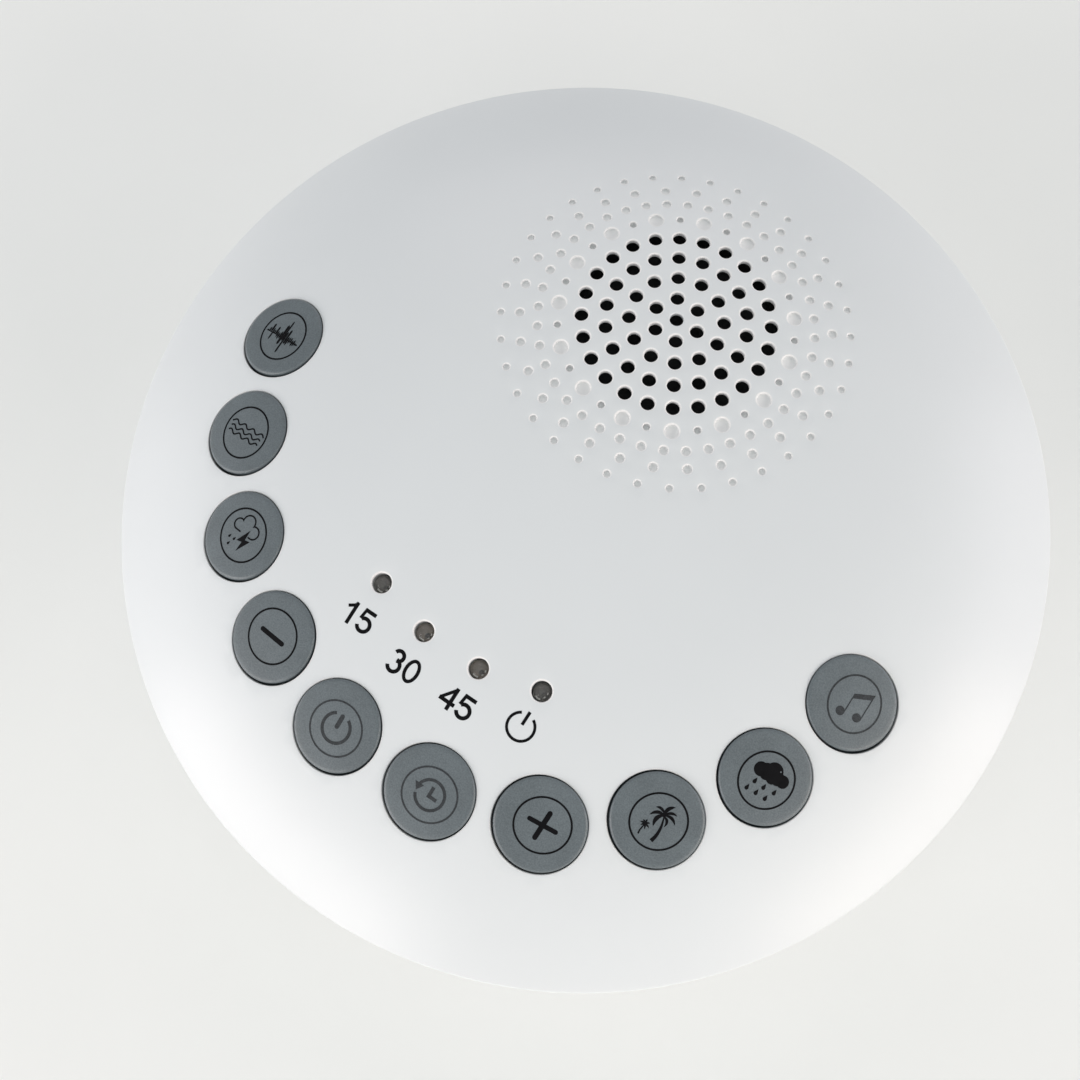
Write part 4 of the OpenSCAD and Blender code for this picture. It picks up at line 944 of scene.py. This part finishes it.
for (name, (symbol, ink, (dx, dy))), (x, y) in zip(PRINTS.items(), key_places):
    outer = tilted_disc(PRINT_RING + RING_LINE / 2, x, y)
    inner = tilted_disc(PRINT_RING - RING_LINE / 2, x, y)
    groups = [([outer], [inner]), symbol[:2]]
    if len(symbol) > 2:
        groups.append((symbol[2], []))
    print_on("print_" + name, groups, x + dx, y + dy, KEY_PROUD, ink, "key_" + name)

# %% [markdown]
# ## Numbers and the power sign at the lights
# The minutes 15, 30 and 45 and a power sign are printed in front of the lights. The digits are
# plain strokes.

# %% Digits as strokes
STROKE, THIN_STROKE = 0.6, 0.5
DIGIT = 3.72


def one(x, y):
    return [band([(x, y), (x, y - DIGIT)], STROKE),
            band([(x + 0.15, y - 0.05), (x - 0.3, y - 0.62), (x - 1.2, y - 1.2)], THIN_STROKE)]


def five(x, y):
    """Five whose bowl is centred at x."""
    return [band([(x - 0.95, y - 0.24), (x + 1.05, y - 0.24)], STROKE),
            band([(x - 0.76, y - 0.02), (x - 1.0, y - 1.78)], THIN_STROKE),
            bow(x, y - 2.45, 1.04, 139, -158, STROKE)]


def three(x, y):
    return [bow(x, y - 1.0, 0.8, 160, -88, STROKE), bow(x, y - 2.62, 0.98, 90, -160, STROKE)]


def nought(x, y):
    steps = [radians(4 * k) for k in range(90)]
    outer = [(x + 1.27 * cos(t), y - 1.86 + 1.94 * sin(t)) for t in steps]
    inner = [(x + 0.72 * cos(t), y - 1.86 + 1.40 * sin(t)) for t in steps]
    return outer, inner


def four(x, y):
    """Four whose stem is at x."""
    return [band([(x, y), (x, y - DIGIT)], STROKE),
            band([(x + 0.1, y - 0.12), (x - 1.78, y - 2.55)], THIN_STROKE),
            band([(x - 1.95, y - 2.56), (x + 0.8, y - 2.56)], STROKE)]


# %% Print the labels
LABEL_DOWN = 4.5
nought_out, nought_in = nought(1.8, 0.26)
power_sign = [bow(0.28, -1.64, 2.15, *OPEN_TOP, 0.44), band([(0.28, 0.95), (0.28, -1.3)], 0.5)]
LABELS = {
    "15": [(one(-1.32, 0.0) + five(1.25, 0.0), [])],
    "30": [(three(-1.12, 0.26), []), ([nought_out], [nought_in])],
    "45": [(four(-0.78, 0.3) + five(1.58, 0.3), [])],
    "power": [(power_sign, [])],
}
for name, (x, y) in zip(LED_NAMES, led_places):
    print_on("label_" + name, LABELS[name], x, y - LABEL_DOWN, 0.0, ink_black, "case")

# %% [markdown]
# ## Indicator lights
# Each light is a clear epoxy lens with a round top, slightly below the skin. Inside are the lead
# frame, a small reflector cup that looks dark from above, and painted highlights: thin white
# crescents that stand in for the glints of light in the lens. The lens enlarges them, so they are
# smaller than they look.

# %% Lenses and what is inside them
LED_RADIUS, LED_SINK, LED_HEIGHT = 1.5, 0.35, 4.2
COLLAR_RADIUS, COLLAR_HEIGHT = 1.9, 1.0
DIE_DEPTH, DIE_RADIUS, DIE_THICKNESS = 2.0, 1.4, 0.4
CUP_ASIDE, CUP_FRONT = 0.22, 0.13
CUP = ((0, 0.05), (0.1, 0.05), (0.16, 0.1), (0.24, 0.1), (0.24, 0.01), (0, 0.01))
# Painted highlights in the lens: (first angle, last angle, distance from the middle, width)
GLINTS = ((240, 286, 0.68, 0.13), (4, 28, 0.5, 0.09), (316, 338, 0.52, 0.08))
led_smoke = finish("led_inside", (0.20, 0.162, 0.132), 0.5, 0.12, 0.01, 0.15, 0.5, speckle=0.2)
led_dusk = finish("led_inside_dark", (0.07, 0.062, 0.054), 0.5, 0.12, 0.01, 0.2, 0.5, speckle=0.25)
led_cup = finish("led_cup", (0.022, 0.018, 0.015), 0.4, 0.2, 0.01, 0.2, 0.4)
# The white finish of the painted highlights inside the lenses.
led_edge = finish("led_edge", (0.86, 0.86, 0.84), 0.35, 0.2, 0.01, 0.05, 0.4)
BACKINGS = {"15": led_dusk, "30": led_smoke, "45": led_smoke, "power": led_dusk}
for name, (x, y) in zip(LED_NAMES, led_places):
    top = dome(x, y) - LED_SINK
    low = top - LED_HEIGHT - COLLAR_HEIGHT
    collar = low + COLLAR_HEIGHT
    turns = [radians(t) for t in range(0, 91, 6)]
    ball = [(LED_RADIUS * sin(t), top - LED_RADIUS * (1 - cos(t))) for t in turns]
    foot = [(LED_RADIUS, collar), (COLLAR_RADIUS, collar), (COLLAR_RADIUS, low), (0, low)]
    turned = lathe("lens_" + name, ball + foot, 48, centre=(x, y))
    turned.materials.append(epoxy)
    lens = weld("lens_" + name, [turned])
    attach(lens, "case")
    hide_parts("led_" + name)
    level = top - DIE_DEPTH
    under = level - DIE_THICKNESS
    backing = [(0, level), (DIE_RADIUS, level), (DIE_RADIUS, under), (0, under)]
    cup = [(radius, level + rise) for radius, rise in CUP]
    insides = [
        lathe("backing", backing, POST_SIDES, (x, y)),
        lathe("cup", cup, 24, (x + CUP_ASIDE, y - CUP_FRONT)),
    ]
    insides[0].materials.append(BACKINGS[name])
    insides[1].materials.append(led_cup)
    # Each glint is a painted highlight: a thin white crescent laid on the backing inside the lens.
    for start, end, reach, width in GLINTS:
        edge = ink_sheet("edge", [bow(x, y, reach, start, end, width)], [], level + 0.01, 0.1)
        edge.materials.append(led_edge)
        insides.append(edge)
    die = weld("die_" + name, insides)
    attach(die, "case")

# %% [markdown]
# ## The lower shell's skin
# The lower shell keeps its CAD mesh but for one place: below the socket, the foot of the socket's
# cradle comes up to 0.9 mm through the curved skin. The few points outside the skin's arc are
# taken away and the opening is closed flush. The stored normals no longer fit after that, so they
# go and the shading is set anew.

# %% Trim what stands out of the skin
SHELL_RADIUS, BASE_RADIUS, BASE_LEVEL = 79.5, 62.0, 2.5
FLUSH = 0.03
side_in, side_high = SHELL_RADIUS - BASE_RADIUS, seam_level - BASE_LEVEL
side_radius = (side_in**2 + side_high**2) / (2 * side_in)
side_centre = SHELL_RADIUS - side_radius


def stands_out(spot):
    """How far a point lies outside the lower shell's arc, in mm."""
    x, y, z = spot / MM
    reach = hypot(x, y)
    if reach < BASE_RADIUS or not BASE_LEVEL < z < seam_level:
        return 0.0
    return hypot(reach - side_centre, z - seam_level) - side_radius


shape = bmesh.new()
shape.from_mesh(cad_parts["bottom_shell"].data)
bmesh.ops.remove_doubles(shape, verts=shape.verts, dist=WELD_WITHIN / 2)
outside = [vert for vert in shape.verts if stands_out(vert.co) > FLUSH]
print("points outside the lower shell's skin:", len(outside))
bmesh.ops.delete(shape, geom=outside, context="VERTS")
opening = [edge for edge in shape.edges if edge.is_boundary]
patch = bmesh.ops.holes_fill(shape, edges=opening)["faces"]
bmesh.ops.triangulate(shape, faces=patch)
trimmed = bpy.data.meshes.new("lower_shell")
shape.to_mesh(trimmed)
shape.free()
trimmed.attributes.remove(trimmed.attributes["custom_normal"])
trimmed.materials.append(shell_abs)
lower_shell = weld("lower_shell", [trimmed], smooth_below=20)
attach(lower_shell, "case")
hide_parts("bottom_shell")

# %% [markdown]
# ## Materials on the CAD pieces
# The remaining pieces have their true shape in CAD. They keep their meshes and only get a finish.

# %% Paint the CAD nodes
METAL, PLAIN = {"Metallic": 1.0}, {}
# (the values of the finish, its settings, the nodes)
CAD_FINISHES = [
    ("screw_steel", (0.56, 0.57, 0.58), 0.3, 0.2, 0.01, 0.08, 1.5, METAL,
     "board_screws speaker_screws speaker_washers case_screws"),
    ("basket_steel", (0.42, 0.43, 0.44), 0.38, 0.3, 0.01, 0.1, 4, METAL,
     "speaker_basket magnet_plates"),
    ("contact_nickel", (0.66, 0.64, 0.58), 0.24, 0.25, 0.006, 0.1, 2, METAL,
     "led_leads battery_springs battery_plates"),
    ("coil_copper", (0.62, 0.28, 0.12), 0.3, 0.2, 0.02, 0.15, 1, METAL, "voice_coil"),
    ("foot_rubber", (0.17, 0.175, 0.18), 0.75, 0.35, 0.03, 0.12, 3, PLAIN, "rubber_feet"),
    ("foam_black", (0.02, 0.02, 0.021), 0.85, 0.5, 0.08, 0.3, 2, PLAIN,
     "speaker_gasket speaker_surround"),
    ("cone_paper", (0.022, 0.022, 0.023), 0.8, 0.6, 0.05, 0.3, 3, PLAIN, "speaker_cone dust_cap"),
    ("black_nylon", (0.02, 0.02, 0.022), 0.45, 0.25, 0.012, 0.2, 3, PLAIN,
     "switch_bodies led_spacers power_jack sound_chip"),
    ("header_nylon", (0.72, 0.68, 0.58), 0.5, 0.3, 0.01, 0.05, 3, PLAIN, "wire_headers"),
    ("magnet_ferrite", (0.045, 0.045, 0.048), 0.6, 0.2, 0.03, 0.25, 2, PLAIN, "speaker_magnet"),
    ("board_green", (0.018, 0.13, 0.05), 0.35, 0.8, 0.008, 0.15, 4, PLAIN, "main_board"),
    ("capacitor_sleeve", (0.02, 0.03, 0.11), 0.35, 0.5, 0.005, 0.1, 3, PLAIN, "capacitors"),
    ("terminal_fibre", (0.32, 0.18, 0.08), 0.7, 0.4, 0.02, 0.15, 1.5, PLAIN, "speaker_terminals"),
    ("wire_red", (0.42, 0.02, 0.018), 0.38, 0.4, 0.005, 0.08, 3, PLAIN, "red_wires"),
    ("wire_black", (0.02, 0.02, 0.021), 0.38, 0.4, 0.005, 0.15, 3, PLAIN, "black_wires"),
]


def paint(nodes, material):
    """Gives CAD nodes one material."""
    for node in nodes:
        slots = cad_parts[node].data.materials
        slots.clear()
        slots.append(material)


paint(["battery_door"], shell_abs)
for *look, settings, nodes in CAD_FINISHES:
    paint(nodes.split(), finish(*look, **settings))
paint(["plunger_" + name for name in KEY_NAMES], bpy.data.materials["black_nylon"])

# %% [markdown]
# ## Table, light and camera
# The machine stands on a pale matte table. Two wide lamps light it from the front, four weaker
# ones fill in from the sides, the back and above, and the room adds an even glow.

# %% A pale table
TABLE_HALF = 1.5
corners = [(TABLE_HALF * x, TABLE_HALF * y, 0) for x, y in ((-1, -1), (1, -1), (1, 1), (-1, 1))]
table = put("table", bpy.data.meshes.new("table"))
table.data.from_pydata(corners, [], [(0, 1, 2, 3)])
table.data.materials.append(finish("table", (0.858, 0.866, 0.853), 0.6, 1.5, 0.01, 0.01, 60))

# %% Lamps and sky
AIM = Vector((0.0, 0.0, 0.03))
ROOM_COLOUR, ROOM_STRENGTH = (0.947, 0.985, 0.996, 1.0), 0.47
# (name, place, width and height, power, colour)
LAMPS = [
    ("front_left", (-0.373, -1.148, 0.324), (1.1, 0.5), 9.13, (1.0, 0.923, 0.892)),
    ("front_right", (1.203, -0.105, 0.324), (1.1, 0.5), 8.86, (1.0, 0.905, 0.823)),
    ("left", (-1.002, -0.676, 0.324), (1.1, 0.5), 2.8, (1.0, 0.965, 0.968)),
    ("right", (1.002, 0.676, 0.324), (1.1, 0.5), 2.8, (1.0, 0.945, 0.997)),
    ("back", (-0.572, 0.89, 0.662), (1.0, 0.7), 2.87, (1.0, 0.888, 0.901)),
    ("ceiling", (0.0, 0.0, 1.5), (1.6, 1.6), 3.34, (0.907, 1.0, 0.987)),
]
for name, spot, size, power, colour in LAMPS:
    light = bpy.data.lights.new(name, "AREA")
    light.shape = "RECTANGLE"
    light.size, light.size_y = size
    light.energy, light.color = power, colour
    lamp = bpy.data.objects.new(name, light)
    turn = (AIM - Vector(spot)).to_track_quat("-Z", "Y").to_matrix().to_4x4()
    lamp.matrix_world = Matrix.Translation(spot) @ turn
    scene.collection.objects.link(lamp)
world = bpy.data.worlds.new("room")
scene.world = world
world.use_nodes = True
room = world.node_tree.nodes["Background"].inputs
room["Color"].default_value, room["Strength"].default_value = ROOM_COLOUR, ROOM_STRENGTH

# %% The camera
LENS, SENSOR, NEAREST = 34.732, 36.0, 0.005
CAMERA_PLACE = (0.027599, -0.033763, 0.209768)
CAMERA_TURN = (0.204694, 0.056663, 0.593279)
camera = bpy.data.objects.new("camera", bpy.data.cameras.new("camera"))
camera.data.lens, camera.data.sensor_width = LENS, SENSOR
camera.data.clip_start = NEAREST
camera.location, camera.rotation_euler = CAMERA_PLACE, CAMERA_TURN
scene.collection.objects.link(camera)
scene.camera = camera
scene.view_settings.view_transform = "Standard"
